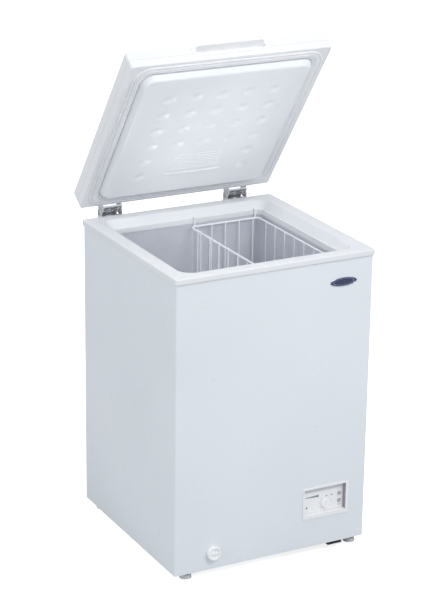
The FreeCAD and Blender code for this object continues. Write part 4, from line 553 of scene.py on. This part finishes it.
def tinted_lens(name, code, shade):
    """Clear styrene lens over a dark socket: part glass, with moulded rings 1 mm apart drawn 2 mm."""
    material, tree, shader, place = start_finish(name, code, 0.18, ior=1.59, coat=0.5)
    shader.inputs["Transmission Weight"].default_value = 0.25
    vary_colour(tree, shader, noise(tree, place, 6, 2.0), code, shade)
    vary_roughness(tree, shader, noise(tree, place, 4, 2.0), 0.14, 0.26)
    relief(tree, shader, (noise(tree, place, 2, 1.0), 0.04))
    return material


# %% Make the finishes
white_enamel = enamelled_steel("white_polyester_enamel", "#e9edf1", "#e4e9ed")
hinge_enamel = enamelled_steel("white_hinge_enamel", "#e6e8eb", "#dcdfe3", 0.35)
lid_abs = moulded_plastic("white_abs_lid", "#f3f3f5", "#eeeff1")
# The grip is painted a brighter white than the lid: painted light that lifts the shade in its pocket.
grip_abs_painted_light = moulded_plastic("white_abs_grip_painted_light", "#fbfbfc", "#f6f7f8", 0.4)
rim_abs = moulded_plastic("white_abs_rim", "#eaecee", "#e5e7ea", 0.33)
panel_abs = moulded_plastic("white_abs_panel", "#f4f4f6", "#eeeef1", 0.4)
lining_styrene = formed_sheet("vacuum_formed_polystyrene", "#f2f5f7", "#edf1f4")
gasket_vinyl = soft_vinyl("white_seal_vinyl", "#f0f0f3", "#e9eaed")
tank_aluminium = mill_aluminium("mill_finish_aluminium", "#e2e4ea", "#d7d9e1")
zinc_sheet = spangled_zinc("galvanised_steel", "#cfd2d5", "#c4c8cc")
zinc_plate = plated_metal("bright_zinc_plate", "#c9cbce", "#b3b3ae", 0.3)
spring_wire = plated_metal("oiled_spring_steel", "#c2c3c7", "#9b9ca1", 0.34)
dull_copper = plated_metal("dull_copper", "#b87550", "#8f553b", 0.38)
bright_plating = plated_metal("bright_plated_abs", "#c9cede", "#b4bacd", 0.16)
basket_coating = dipped_coating("white_dipped_polyethylene", "#f4f5f8", "#e9ebf0")
black_enamel = dark_coat("black_sprayed_enamel", "#1b1b1d", "#2a2a2c", 0.4, 4, 0.12)
grey_enamel = dark_coat("dark_grey_enamel", "#44474d", "#54575d", 0.5, 4, 0.06)
black_polyamide = dark_coat("black_polyamide", "#202022", "#2b2b2e", 0.55, 3, 0.05)
black_rubber = dark_coat("black_rubber", "#18181a", "#2c2c2e", 0.75, 3, 0.1)
cream_foam = rigid_foam("cream_polyurethane_foam", "#ecdcb0", "#dcc58b")
badge_enamel = domed_enamel("blue_badge_enamel", "#2b3566", "#1d2450")
fascia_styrene = moulded_plastic("white_fascia_styrene", "#f6f6f6", "#f1f1f2", 0.32, 0.015, 0.2)
print_ink = moulded_plastic("grey_printing_ink", "#8b9a9d", "#7b8a8e", 0.45, 0.01, 0.0)
# Painted shadow: the pale grey band where the recess's upper lip shades the control plate.
painted_shadow_paint = moulded_plastic("pale_grey_painted_shadow", "#dcdcde", "#d5d5d8", 0.4, 0.01, 0.0)
# Painted shade: a darker grey for the recess's right inner wall, which lies in shadow.
recess_painted_shade = moulded_plastic("grey_painted_shade_recess", "#a2a2a8", "#94949b", 0.45)
knob_abs = moulded_plastic("white_abs_knob", "#fafafb", "#f3f3f5", 0.3, 0.01, 0.1)
lamp_lens = tinted_lens("grey_styrene_lens", "#d6d7da", "#bcbec4")
drain_plastic = moulded_plastic("white_polypropylene", "#f8f9fa", "#eff1f3", 0.42, 0.01, 0.3)
foot_nylon = moulded_plastic("pale_grey_nylon", "#f0f0f1", "#e4e5e7", 0.5, 0.06, 0.2)
foot_steel = dark_coat("blackened_steel", "#2c2d30", "#3d3e42", 0.4, 3, 0.04)
print(len(bpy.data.materials), "materials")

# %% [markdown]
# ## Fit a finish to a part
# A new piece rides on the body that its imported part belongs to, and hides that part.

# %% Fit and copy helpers
BODIES = frame["record"]["behaviour"]["bodies"]
BODY_OF = {node: body for body, members in BODIES.items() for node in members}


def fit(piece, finish, *replaced):
    """Give a piece its finish and its body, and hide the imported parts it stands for."""
    piece.data.materials.clear()
    piece.data.materials.append(finish)
    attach(piece, BODY_OF[replaced[0]])
    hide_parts(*replaced)
    return piece


def eased_copy(node, finish, width, segments=2):
    """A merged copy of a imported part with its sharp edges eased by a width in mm."""
    mesh = frame["nodes"][node].data
    points = np.zeros(len(mesh.vertices) * 3)
    mesh.vertices.foreach_get("co", points)
    faces = [list(face.vertices) for face in mesh.polygons]
    piece = add_mesh(node + "_eased", [(points.reshape(-1, 3) / MM, faces)], weld=0.005)
    work = bmesh.new()
    work.from_mesh(piece.data)
    bmesh.ops.dissolve_limit(work, angle_limit=radians(0.5), verts=work.verts, edges=work.edges)
    work.to_mesh(piece.data)
    work.free()
    smooth(piece, 40)
    soften(piece, width, segments)
    return fit(piece, finish, node)


# %% [markdown]
# ## Rim frame
# The rim is one white moulding: a skirt over the cabinet's edge, a flat that the seal lands on,
# a slope down to a narrow ledge that holds the basket, and a short wall into the tank.
# Its outer corners are tight and its mouth is rounder, so each profile point carries its own corner centre.

# %% Rim
SKIRT_CORNER, MOUTH_CORNER = 7.0, 14.0
LEDGE, SLOPE_RUN, SLOPE_DROP, RIM_HEIGHT, RIM_DEPTH, RIM_WALL = 3.5, 18.0, 20.0, 14.0, 34.0, 2.5
FLAT_SIDE, FLAT_FRONT, SKIRT_ZONE = 36.7, 34.2, 6.0
flat_radius = MOUTH_CORNER + LEDGE + SLOPE_RUN
mouth_centre = np.array([RIM_X - FLAT_SIDE - flat_radius, RIM_Y - FLAT_FRONT - flat_radius])
skirt_centre = np.array([RIM_X - SKIRT_CORNER, RIM_Y - SKIRT_CORNER])
ledge_top = RIM_TOP - SLOPE_DROP


def rim_frame():
    """Profile in distance from the middle along X; its points near the skirt follow the skirt's corners."""
    side = mouth_centre[0]
    mouth, flat, low = side + MOUTH_CORNER, side + flat_radius, RIM_TOP - RIM_DEPTH
    inner, under = RIM_X - RIM_WALL, RIM_TOP - RIM_WALL
    section = rounded([
        (mouth, low, 0.8), (mouth, ledge_top, 1.0), (mouth + LEDGE, ledge_top, 1.2), (flat, RIM_TOP, 8.0),
        (RIM_X, RIM_TOP, 2.2), (RIM_X, RIM_TOP - RIM_HEIGHT, 0.8), (inner, RIM_TOP - RIM_HEIGHT, 0.8),
        (inner, under, 1.0), (flat + 2, under, 3.0), (mouth + RIM_WALL, ledge_top - RIM_WALL, 1.0),
        (mouth + RIM_WALL, low, 0.8)])
    outside = section[:, 0] > RIM_X - SKIRT_ZONE
    centres = np.where(outside[:, None], skirt_centre, mouth_centre)
    radii = section[:, 0] - centres[:, 0]
    points = carry(radii, section[:, 1], centres, middle=(0, MIDDLE_Y))
    return points, grid_faces(points.shape[0], points.shape[1], True, True)


rim = smooth(add_mesh("rim_moulding", [rim_frame()]))
fit(rim, rim_abs, "rim_frame")
print("rim", len(rim.data.polygons), "faces")

# %% [markdown]
# ## The open lid
# The lid's parts are worked out as if it were shut and then turned back about the hinge pins.
# A point at (y, z) from the pin goes to (y cos + z sin, -y sin + z cos).

# %% Turn the lid's points
def open_lid(points):
    """Shut lid to open lid, about the line through the hinge pins."""
    points = np.array(points, float)
    y, z = points[..., 1] - HINGE_Y, points[..., 2] - HINGE_Z
    c, s = cos(radians(LID_OPEN)), sin(radians(LID_OPEN))
    points[..., 1] = HINGE_Y + y * c + z * s
    points[..., 2] = HINGE_Z - y * s + z * c
    return points


LID_BOTTOM = RIM_TOP + 4.5
PLUG_R, PLUG_IN_X, PLUG_IN_Y = 33.0, 38.2, 35.7
lid_centre = np.array([RIM_X - PLUG_IN_X - PLUG_R, RIM_Y - PLUG_IN_Y - PLUG_R])

# %% [markdown]
# ## Lining with its raised field
# The lining stands 15 mm out of the lid, with sloping sides and round corners.
# Its flat is pressed with rows of shallow dimples. Near the hinges a ribbed patch and a ledge take their place.
# The flat is a height over a grid. The sides are a profile carried round it that shares the grid's edge points.

# %% Lining
FIELD_DEPTH, SIDE_RUN, FLANGE, FLANGE_LIFT, FLANGE_SHEET = 15.0, 10.0, 12.0, 2.8, 2.0
DIMPLE_ACROSS, DIMPLE_ALONG, DIMPLE_DEPTH = 21.0, 17.0, 3.6
DIMPLE_X = np.arange(-2, 3) * 73.0
DIMPLE_Y = (np.arange(6) - 2.5) * 58.0
RIB_Y = 77.0 + 9.0 * np.arange(7)
RIB_HALF, LEDGE_HALF, LEDGE_Y = 68.0, 81.0, 147.0
GRID_STEP, FINE_FROM, FINE_TO = 3.2, 70.0, 154.0
field_z = LID_BOTTOM - FIELD_DEPTH


def bump_row(x, y, half, place, width, height):
    """Rounded bar along X: cos squared across its width, an S-curve down over its last 4 mm."""
    across = np.clip(np.abs(y - place) / width, 0, 1)
    end = np.clip((half - np.abs(x)) / 4, 0, 1)
    return height * np.cos(across * pi / 2) ** 2 * end ** 2 * (3 - 2 * end)


def field_height(x, y):
    """Height of the flat: a dimple goes up by depth * (1 - d squared) squared, and bars hang down."""
    up = np.zeros_like(x)
    for row, place_y in enumerate(DIMPLE_Y):
        for column, place_x in enumerate(DIMPLE_X):
            if row < 4 or column in (0, 4):
                d = ((x - place_x) / DIMPLE_ACROSS) ** 2 + ((y - place_y) / DIMPLE_ALONG) ** 2
                up += DIMPLE_DEPTH * np.clip(1 - d, 0, 1) ** 2
    for place in RIB_Y:
        up -= bump_row(x, y, RIB_HALF, place, 2.6, 1.6)
    return field_z + up - bump_row(x, y, LEDGE_HALF, LEDGE_Y, 4.5, 2.6)


def lining():
    """The flat as a grid, its sides as a ring that starts on the grid's edge, and a flat back."""
    end = lid_centre[1]
    across = np.linspace(-1, 1, 137)
    along = np.concatenate([
        np.arange(-end, FINE_FROM - 1, GRID_STEP), np.linspace(FINE_FROM, FINE_TO, 95),
        np.arange(FINE_TO + 3, end, GRID_STEP), [end]]) / end
    x, y = np.meshgrid(across * lid_centre[0], along * lid_centre[1], indexing="ij")
    flat = np.stack([x, y + MIDDLE_Y, field_height(x, y)], axis=2)
    path = ring(10, shares=[(1 - across[::-1]) / 2, (1 - along[::-1]) / 2, (1 + across) / 2, (1 + along) / 2])
    flange, flange_z = PLUG_R + FLANGE, LID_BOTTOM + FLANGE_LIFT
    side = rounded([
        (0, field_z), (PLUG_R - SIDE_RUN, field_z, 7), (PLUG_R, LID_BOTTOM - 1, 3),
        (PLUG_R, flange_z, 0.6), (flange, flange_z, 0.6), (flange, flange_z + FLANGE_SHEET)])
    wall = carry(side[:, 0], side[:, 1], lid_centre, path=path, middle=(0, MIDDLE_Y))
    back = wall[:, -1]
    return [(open_lid(flat), grid_faces(*flat.shape[:2])),
            (open_lid(wall), grid_faces(*wall.shape[:2], True)), (open_lid(back), [list(range(len(back)))])]


lid_lining = smooth(add_mesh("lid_lining_formed", lining()), 50)
fit(lid_lining, lining_styrene, "lid_lining")
print("lining", len(lid_lining.data.polygons), "faces")

# %% [markdown]
# ## Lid seal
# The seal is an extruded vinyl strip: a bulb that squashes on the rim, a groove, and a lip beyond it.
# It is welded into one frame, so its profile is carried round the lid's rounded corners.

# %% Seal
SEAL_INNER, SEAL_OUTER, SEAL_IN_X, SEAL_IN_Y = 24.0, 46.0, 12.2, 9.7
SEAL_HEIGHT, SEAL_GAP = 4.15, 0.1
seal_centre = np.array([RIM_X - SEAL_IN_X - SEAL_OUTER, RIM_Y - SEAL_IN_Y - SEAL_OUTER])
seal_low, seal_top = LID_BOTTOM - SEAL_HEIGHT, LID_BOTTOM - SEAL_GAP
bulb = [(24.3, 2.8, 0.6), (26.6, 2.2, 0.6), (28.0, 0.0, 1.6), (37.0, 0.0, 1.8), (38.6, 2.4, 0.7)]
lip = [(40.0, 2.4, 0.7), (41.2, 0.5, 0.9), (44.4, 0.7, 0.9), (SEAL_OUTER, 3.2, 0.6)]
seal = carried_ring(
    [(SEAL_INNER, seal_top, 0)] + [(out, seal_low + up, corner) for out, up, corner in bulb + lip]
    + [(SEAL_OUTER, seal_top, 0)],
    seal_centre, path=ring(12), middle=(0, MIDDLE_Y))
lid_seal = smooth(add_mesh("lid_seal", [(open_lid(seal[0]), seal[1])]))
fit(lid_seal, gasket_vinyl, "lid_gasket")
print("seal", len(lid_seal.data.polygons), "faces")

# %% [markdown]
# ## Wire
# Basket and springs are round wire, so one function makes a tube along any path.
# At each point the section lies across the path's direction. The first section's side is carried on from
# point to point by taking away whatever part of it lies along the path, which keeps the tube from twisting.

# %% Tube along a path
def tube(path, radius, sides=10, closed=False):
    """Grid of circles of a radius about a path, as (points, faces), with flat ends unless it is closed."""
    path = np.asarray(path, float)
    if closed:
        along = np.roll(path, -1, axis=0) - np.roll(path, 1, axis=0)
    else:
        along = np.gradient(path, axis=0)
    along /= np.linalg.norm(along, axis=1)[:, None]
    side = np.cross(along[0], [0.0, 0.0, 1.0])
    if np.linalg.norm(side) < 0.1:
        side = np.cross(along[0], [0.0, 1.0, 0.0])
    sides_of = []
    for direction in along:
        side = side - direction * (side @ direction)
        side /= np.linalg.norm(side)
        sides_of.append(side)
    first = np.array(sides_of)
    second = np.cross(along, first)
    turn = np.linspace(0, 2 * pi, sides, endpoint=False)
    cosine, sine = np.cos(turn)[None, :, None], np.sin(turn)[None, :, None]
    points = path[:, None] + radius * (first[:, None] * cosine + second[:, None] * sine)
    faces = grid_faces(len(path), sides, closed, True)
    if closed:
        return points, faces
    ends = [list(range(sides))[::-1], [(len(path) - 1) * sides + i for i in range(sides)]]
    return points, [list(face) for face in faces] + ends


def bent(corners, bend, steps=5):
    """Path through 3-D corners, each rounded by a bend radius in the plane of its two runs."""
    corners = np.asarray(corners, float)
    made = [corners[:1]]
    for before, here, after in zip(corners, corners[1:], corners[2:]):
        inward, outward = before - here, after - here
        inward, outward = inward / np.linalg.norm(inward), outward / np.linalg.norm(outward)
        half = np.arccos(np.clip(inward @ outward, -1, 1)) / 2
        reach = bend / np.tan(half)
        bisector = (inward + outward) / np.linalg.norm(inward + outward)
        centre = here + bisector * bend / np.sin(half)
        start, end = here + inward * reach - centre, here + outward * reach - centre
        whole = np.arccos(np.clip(start @ end / bend ** 2, -1, 1))
        turn = np.linspace(0, whole, steps + 1)[:, None]
        made.append(centre + (start * np.sin(whole - turn) + end * np.sin(turn)) / np.sin(whole))
    made.append(corners[-1:])
    return np.concatenate(made)


# %% [markdown]
# ## Basket
# Each wire is one U: down a wall, across the floor and up the other side, welded inside a thick top ring.
# The wires from side to side lie on those from front to back, and a foot wire ties the walls near the floor.
# The gaps are wide, 49 mm along the sides and 40 mm across the ends, because this basket only holds boxes.

# %% Basket
ring_low, ring_high = box_mm("basket_ring")
walls_low, walls_high = box_mm("basket_walls")
floor_low = box_mm("basket_floor")[0]
RING_WIRE, GRID_WIRE, HANGER_WIRE = 2.6, 1.5, 2.0
SIDE_PITCH, SIDE_FIRST, END_PITCH, WIRE_INSET = 49.2, 44.0, 40.0, 14.0
RING_CORNER, GRID_BEND, FOOT_INSET, FOOT_LIFT = 12.0, 7.0, 2.6, 16.0
WELD, CROSS_LIFT, WIRE_ABOVE, HANGER_INSET, HANGER_BEND = 0.2, 2.8, 1.0, 10.0, 3.0
ring_z = ring_low[2] + RING_WIRE
basket_x = (walls_low[0] + walls_high[0]) / 2
wall_x = (walls_high[0] - walls_low[0]) / 2 - GRID_WIRE
wall_y = (walls_high[1] - walls_low[1]) / 2 - GRID_WIRE
ring_half = np.array([wall_x, wall_y]) + RING_WIRE + GRID_WIRE - WELD


def basket_path(points):
    """A path drawn about the basket's middle, moved to its place."""
    return np.array(points) + (basket_x, MIDDLE_Y, 0)


def hoop(half, corner, z, arc_steps, side_steps):
    """Rounded rectangle at a height, about the basket's middle."""
    signs, directions = ring(arc_steps, side_steps)
    flat = signs * (half - corner) + directions * corner
    return basket_path(np.column_stack([flat, np.full(len(flat), z)]))


def basket_wires():
    """Two sets of U-shaped wires and the foot wire that ties them."""
    top, low = ring_z + WIRE_ABOVE, floor_low[2] + GRID_WIRE
    last = wall_x - WIRE_INSET
    paths = [[(x, -wall_y, top), (x, -wall_y, low), (x, wall_y, low), (x, wall_y, top)]
             for x in np.linspace(-last, last, round(2 * last / END_PITCH) + 1)]
    cross = low + CROSS_LIFT
    paths += [[(-wall_x, y, top), (-wall_x, y, cross), (wall_x, y, cross), (wall_x, y, top)]
              for y in np.arange(wall_y - SIDE_FIRST, WIRE_INSET - wall_y, -SIDE_PITCH)]
    made = [tube(bent(basket_path(path), GRID_BEND), GRID_WIRE) for path in paths]
    foot = hoop(np.array([wall_x, wall_y]) - FOOT_INSET, GRID_BEND, low + FOOT_LIFT, 5, 2)
    return made + [tube(foot, GRID_WIRE, 8, closed=True)]


def hangers():
    """Short bent wires that lift the ring's ends onto the rim's ledge."""
    hook_z, made = ring_high[2] - HANGER_WIRE, []
    tip = (ring_high[1] - ring_low[1]) / 2
    for x in (ring_half[0] - HANGER_INSET, HANGER_INSET - ring_half[0]):
        for end in (-1, 1):
            path = [(x, end * ring_half[1], ring_z), (x, end * ring_half[1], hook_z), (x, end * tip, hook_z)]
            made.append(tube(bent(basket_path(path), HANGER_BEND), HANGER_WIRE))
    return made


top_ring = tube(hoop(ring_half, RING_CORNER, ring_z, 8, 4), RING_WIRE, 12, closed=True)
basket_top = smooth(add_mesh("basket_top_ring", [top_ring] + hangers()))
fit(basket_top, basket_coating, "basket_ring")
basket_grid = smooth(add_mesh("basket_grid", basket_wires()))
fit(basket_grid, basket_coating, "basket_walls", "basket_floor")
print("basket", len(basket_top.data.polygons) + len(basket_grid.data.polygons), "faces")

# %% [markdown]
# ## Hinge springs
# Two compression springs stand side by side in each casing and push the lid's toe bar up.
# Their end turns are closed. As the lid shuts they shorten.

# %% Springs
SPRING_TURNS, SPRING_WIRE, END_TURN, STEPS_A_TURN = 10.0, 3.2, 0.8, 20


def spring(x, y, low, high, radius):
    """Helix of even turns whose end turns rise by only one wire each, which closes the spring's ends."""
    turns = np.linspace(0, 1, int(SPRING_TURNS * STEPS_A_TURN) + 1) * SPRING_TURNS
    climb = np.clip((turns - END_TURN) / (SPRING_TURNS - 2 * END_TURN), 0, 1)
    settle = np.minimum(turns, END_TURN) + np.maximum(turns - SPRING_TURNS + END_TURN, 0)
    free = high - low - SPRING_WIRE - 2 * END_TURN * SPRING_WIRE
    height = low + SPRING_WIRE / 2 + climb * free + settle * SPRING_WIRE
    turn = turns * 2 * pi
    path = np.column_stack([x + radius * np.cos(turn), y + radius * np.sin(turn), height])
    return tube(path, SPRING_WIRE / 2, 8)


for side in ("left", "right"):
    low, high = box_mm("hinge_springs_" + side)
    half, seat = (high[1] - low[1]) / 2, low[2]
    coils = [spring(x, (low[1] + high[1]) / 2, seat, high[2], half - SPRING_WIRE / 2)
             for x in (low[0] + half, high[0] - half)]
    piece = smooth(add_mesh("hinge_spring_pair_" + side, coils))
    fit(piece, spring_wire, "hinge_springs_" + side)
    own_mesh(piece)

# %% [markdown]
# ## Badge
# The badge is a shallow blue dome in a bright ring, with a thin bright line inside its edge.
# A dome over an ellipse is height * (1 - rho squared) for rho from 0 at the middle to 1 at the edge.

# %% Badge dome
badge_low, badge_high = box_mm("badge_rim")
badge_x, badge_z = (badge_low[0] + badge_high[0]) / 2, (badge_low[2] + badge_high[2]) / 2
badge_half = np.array([badge_high[0] - badge_low[0], badge_high[2] - badge_low[2]]) / 2
BADGE_RING, DOME_EDGE, DOME_RISE, RHO_STEPS, DOME_SIDES, BAND_SIDES = 1.8, 0.9, 0.65, 8, 64, 72
LINE_INNER, LINE_MIDDLE, LINE_OUTER, LINE_BACK, LINE_PROUD = 0.78, 0.80, 0.83, 0.6, 0.12
dome_half = badge_half - BADGE_RING - 0.05


def on_badge(u, v, out):
    """Points on the front of the cabinet, out towards the viewer, from the badge's middle."""
    return np.stack([badge_x + u, FRONT - out, badge_z + v], axis=-1)


def badge_dome():
    """Ellipse grid in (rho, angle) with a short edge, and a flat back."""
    rho = np.linspace(0.0, 1.0, RHO_STEPS + 1)[:, None]
    turn = np.linspace(0, 2 * pi, DOME_SIDES, endpoint=False)[None]
    u, v = rho * dome_half[0] * np.cos(turn), rho * dome_half[1] * np.sin(turn)
    top = on_badge(u, v, DOME_EDGE + DOME_RISE * (1 - rho ** 2) + 0 * turn)
    foot = on_badge(u[-1], v[-1], 0 * turn[0])
    return [(np.concatenate([top, foot[None]]), grid_faces(RHO_STEPS + 2, DOME_SIDES, False, True)),
            (foot, [list(range(DOME_SIDES))])]


def oval_band(inner, outer, back, front):
    """Flat elliptical ring of a small thickness."""
    turn = np.linspace(0, 2 * pi, BAND_SIDES, endpoint=False)
    lines = [(inner, back), (inner, front), (outer, front), (outer, back)]
    points = np.stack([on_badge(half[0] * np.cos(turn), half[1] * np.sin(turn), out + 0 * turn)
                       for half, out in lines], axis=1)
    return points, grid_faces(BAND_SIDES, len(lines), True, True)


dome = smooth(add_mesh("badge_dome", badge_dome()))
fit(dome, badge_enamel, "badge_plate")
line_out = DOME_EDGE + DOME_RISE * (1 - LINE_MIDDLE ** 2) + LINE_PROUD
line = oval_band(dome_half * LINE_INNER, dome_half * LINE_OUTER, LINE_BACK, line_out)
inlay = smooth(add_mesh("badge_inlay_line", [line]))
inlay.data.materials.append(bright_plating)
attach(inlay, "cabinet")
print("badge", [round(v, 1) for v in badge_half * 2])

# %% [markdown]
# ## Control plate printing and a painted shadow
# The plate has a wedge that widens from cool to cold, two short marks and a few dashes in grey-green ink.
# A pale grey band along its top is painted shadow: the shade that the recess's upper lip casts on the plate.
# Printing is a film, so each mark, and the painted shadow band too, is a very thin flat prism on the plate.

# %% Marks and painted shadow on the plate
plate_low, plate_high = box_mm("control_plate")
plate_x = (plate_low[0] + plate_high[0]) / 2
INK, SUNK = 0.15, 0.2
DIAL_R, DIAL_STEP, DOT_R = 16.5, 40, 0.7
BAND_ABOVE_KNOB, BAND_EDGE = 35.5, 0.5


def ink_mark(outline):
    """Flat prism with an outline in (x, z) mm, from just inside the plate to a film above it."""
    outline = np.asarray(outline, float)
    back = np.column_stack([outline[:, 0], np.full(len(outline), plate_low[1] + SUNK), outline[:, 1]])
    front = back - (0, SUNK + INK, 0)
    count = len(outline)
    sides = [[i, (i + 1) % count, count + (i + 1) % count, count + i] for i in range(count)]
    return np.concatenate([back, front]), sides + [list(range(count)), list(range(count, 2 * count))]


def bar(x, z, width, height):
    """Corners of an upright rectangle."""
    left, right, low, high = x - width / 2, x + width / 2, z - height / 2, z + height / 2
    return [(left, low), (right, low), (right, high), (left, high)]


def disc(x, z, radius, count=16):
    """Corners of a small disc."""
    turn = np.linspace(0, 2 * pi, count, endpoint=False)
    return np.column_stack([x + radius * np.cos(turn), z + radius * np.sin(turn)])


knob_low, knob_high = box_mm("thermostat_knob")
knob_x, knob_z = (knob_low[0] + knob_high[0]) / 2, (knob_low[2] + knob_high[2]) / 2
wedge_z = knob_z + 23.0
wedge_left, wedge_right = knob_x - 58, knob_x - 19
outlines = [[(wedge_left, wedge_z - 0.9), (wedge_right, wedge_z - 3.4),
             (wedge_right, wedge_z + 3.0), (wedge_left, wedge_z + 0.6)],
            bar(knob_x + 4, knob_z + 19, 5.0, 2.2), bar(knob_x + 19, knob_z + 19, 6.0, 2.2),
            bar(knob_x + 41, knob_z - 12, 8.0, 1.6), disc(knob_x - 53, knob_z - 5, 2.6)]
for step in range(-3, 4):
    turn = radians(step * DIAL_STEP)
    outlines.append(disc(knob_x + DIAL_R * sin(turn), knob_z + DIAL_R * cos(turn), DOT_R, 8))
printing = add_mesh("plate_printing", [ink_mark(outline) for outline in outlines])
printing.data.materials.append(print_ink)
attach(printing, "cabinet")
# The band is painted shadow, a pale grey film where the recess's upper lip shades the plate.
band_low, band_high = knob_z + BAND_ABOVE_KNOB, plate_high[2] - BAND_EDGE
band_width = plate_high[0] - plate_low[0] - 2 * BAND_EDGE
band = bar(plate_x, (band_low + band_high) / 2, band_width, band_high - band_low)
painted_shadow_strip = add_mesh("plate_painted_shadow_strip", [ink_mark(band)])
painted_shadow_strip.data.materials.append(painted_shadow_paint)
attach(painted_shadow_strip, "cabinet")
print("printing", len(printing.data.polygons), "faces")

# %% [markdown]
# ## Every other part keeps its imported shape
# The rest are turned, cut or bent parts whose solids are right already.
# Those with edges that catch the light are copied, merged and eased a little. The others stay as packed.
# The panel's recess has one wall, at its right, that faces away from the light; its darker grey finish is painted
# shade.

# %% Ease and finish the remaining parts
# The handle's grip finish is painted light, a whiter white than the lid to lift the shade in its pocket.
EASED = {
    "lid_handle": (grip_abs_painted_light, 1.0), "control_housing": (panel_abs, 0.8),
    "control_plate": (fascia_styrene, 0.25), "rear_grille": (panel_abs, 0.35), "side_vent": (panel_abs, 0.3),
    "hinge_casing_left": (hinge_enamel, 0.5), "hinge_casing_right": (hinge_enamel, 0.5),
    "hinge_arm_left": (hinge_enamel, 0.4), "hinge_arm_right": (hinge_enamel, 0.4),
    "thermostat_knob": (knob_abs, 0.6), "drain_cap": (drain_plastic, 0.5), "badge_rim": (bright_plating, 0.35),
    "foot_stud_front_left": (foot_steel, 0.4), "foot_stud_front_right": (foot_steel, 0.4),
    "compressor_base": (grey_enamel, 0.5),
}
KEPT = {
    white_enamel: ["outer_wrap"],
    lid_abs: ["lid_top", "lid_frame"],
    tank_aluminium: ["inner_liner"],
    zinc_sheet: ["back_panel", "bottom_panel", "compartment_lining"],
    zinc_plate: ["cabinet_screws", "lid_screws", "hinge_pins", "compressor_bolts", "foot_nuts"],
    dull_copper: ["evaporator_tube", "suction_pipe", "discharge_pipe", "liquid_pipe", "filter_drier",
                  "capillary_tube", "thermostat_sensor"],
    black_enamel: ["compressor_can", "condenser_tube", "base_bolts"],
    black_rubber: ["compressor_grommets"],
    black_polyamide: ["relay_cover", "cord_gland", "thermostat_body"],
    cream_foam: ["foam_insulation", "lid_foam"],
    lamp_lens: ["indicator_lamps"],
    drain_plastic: ["drain_tube", "drain_socket", "drain_plug"],
    foot_nylon: ["foot_pad_front_left", "foot_pad_front_right", "rear_feet"],
}
eased = {node: eased_copy(node, finish, width) for node, (finish, width) in EASED.items()}
housing = eased["control_housing"].data
# The recess's right inner wall gets a second slot with a darker grey, as painted shade for the shadow on that
# wall.
housing.materials.append(recess_painted_shade)
bezel_front = box_mm("control_housing")[0][1]
for face in housing.polygons:
    x, y = face.center.x / MM, face.center.y / MM
    if x > plate_x and face.normal.x < -0.5 and bezel_front + 1 < y < plate_low[1] + 1:
        face.material_index = 1
for finish, members in KEPT.items():
    for node in members:
        packed = frame["nodes"][node]
        if not packed.material_slots:
            packed.data.materials.append(finish)
        for place in packed.material_slots:
            place.material = finish
kept_nodes = sum(KEPT.values(), [])
unfinished = sorted(node for node, packed in frame["nodes"].items()
                    if not packed.hide_render and node not in kept_nodes)
print("eased", len(EASED), "kept", len(kept_nodes), "without a finish", unfinished)
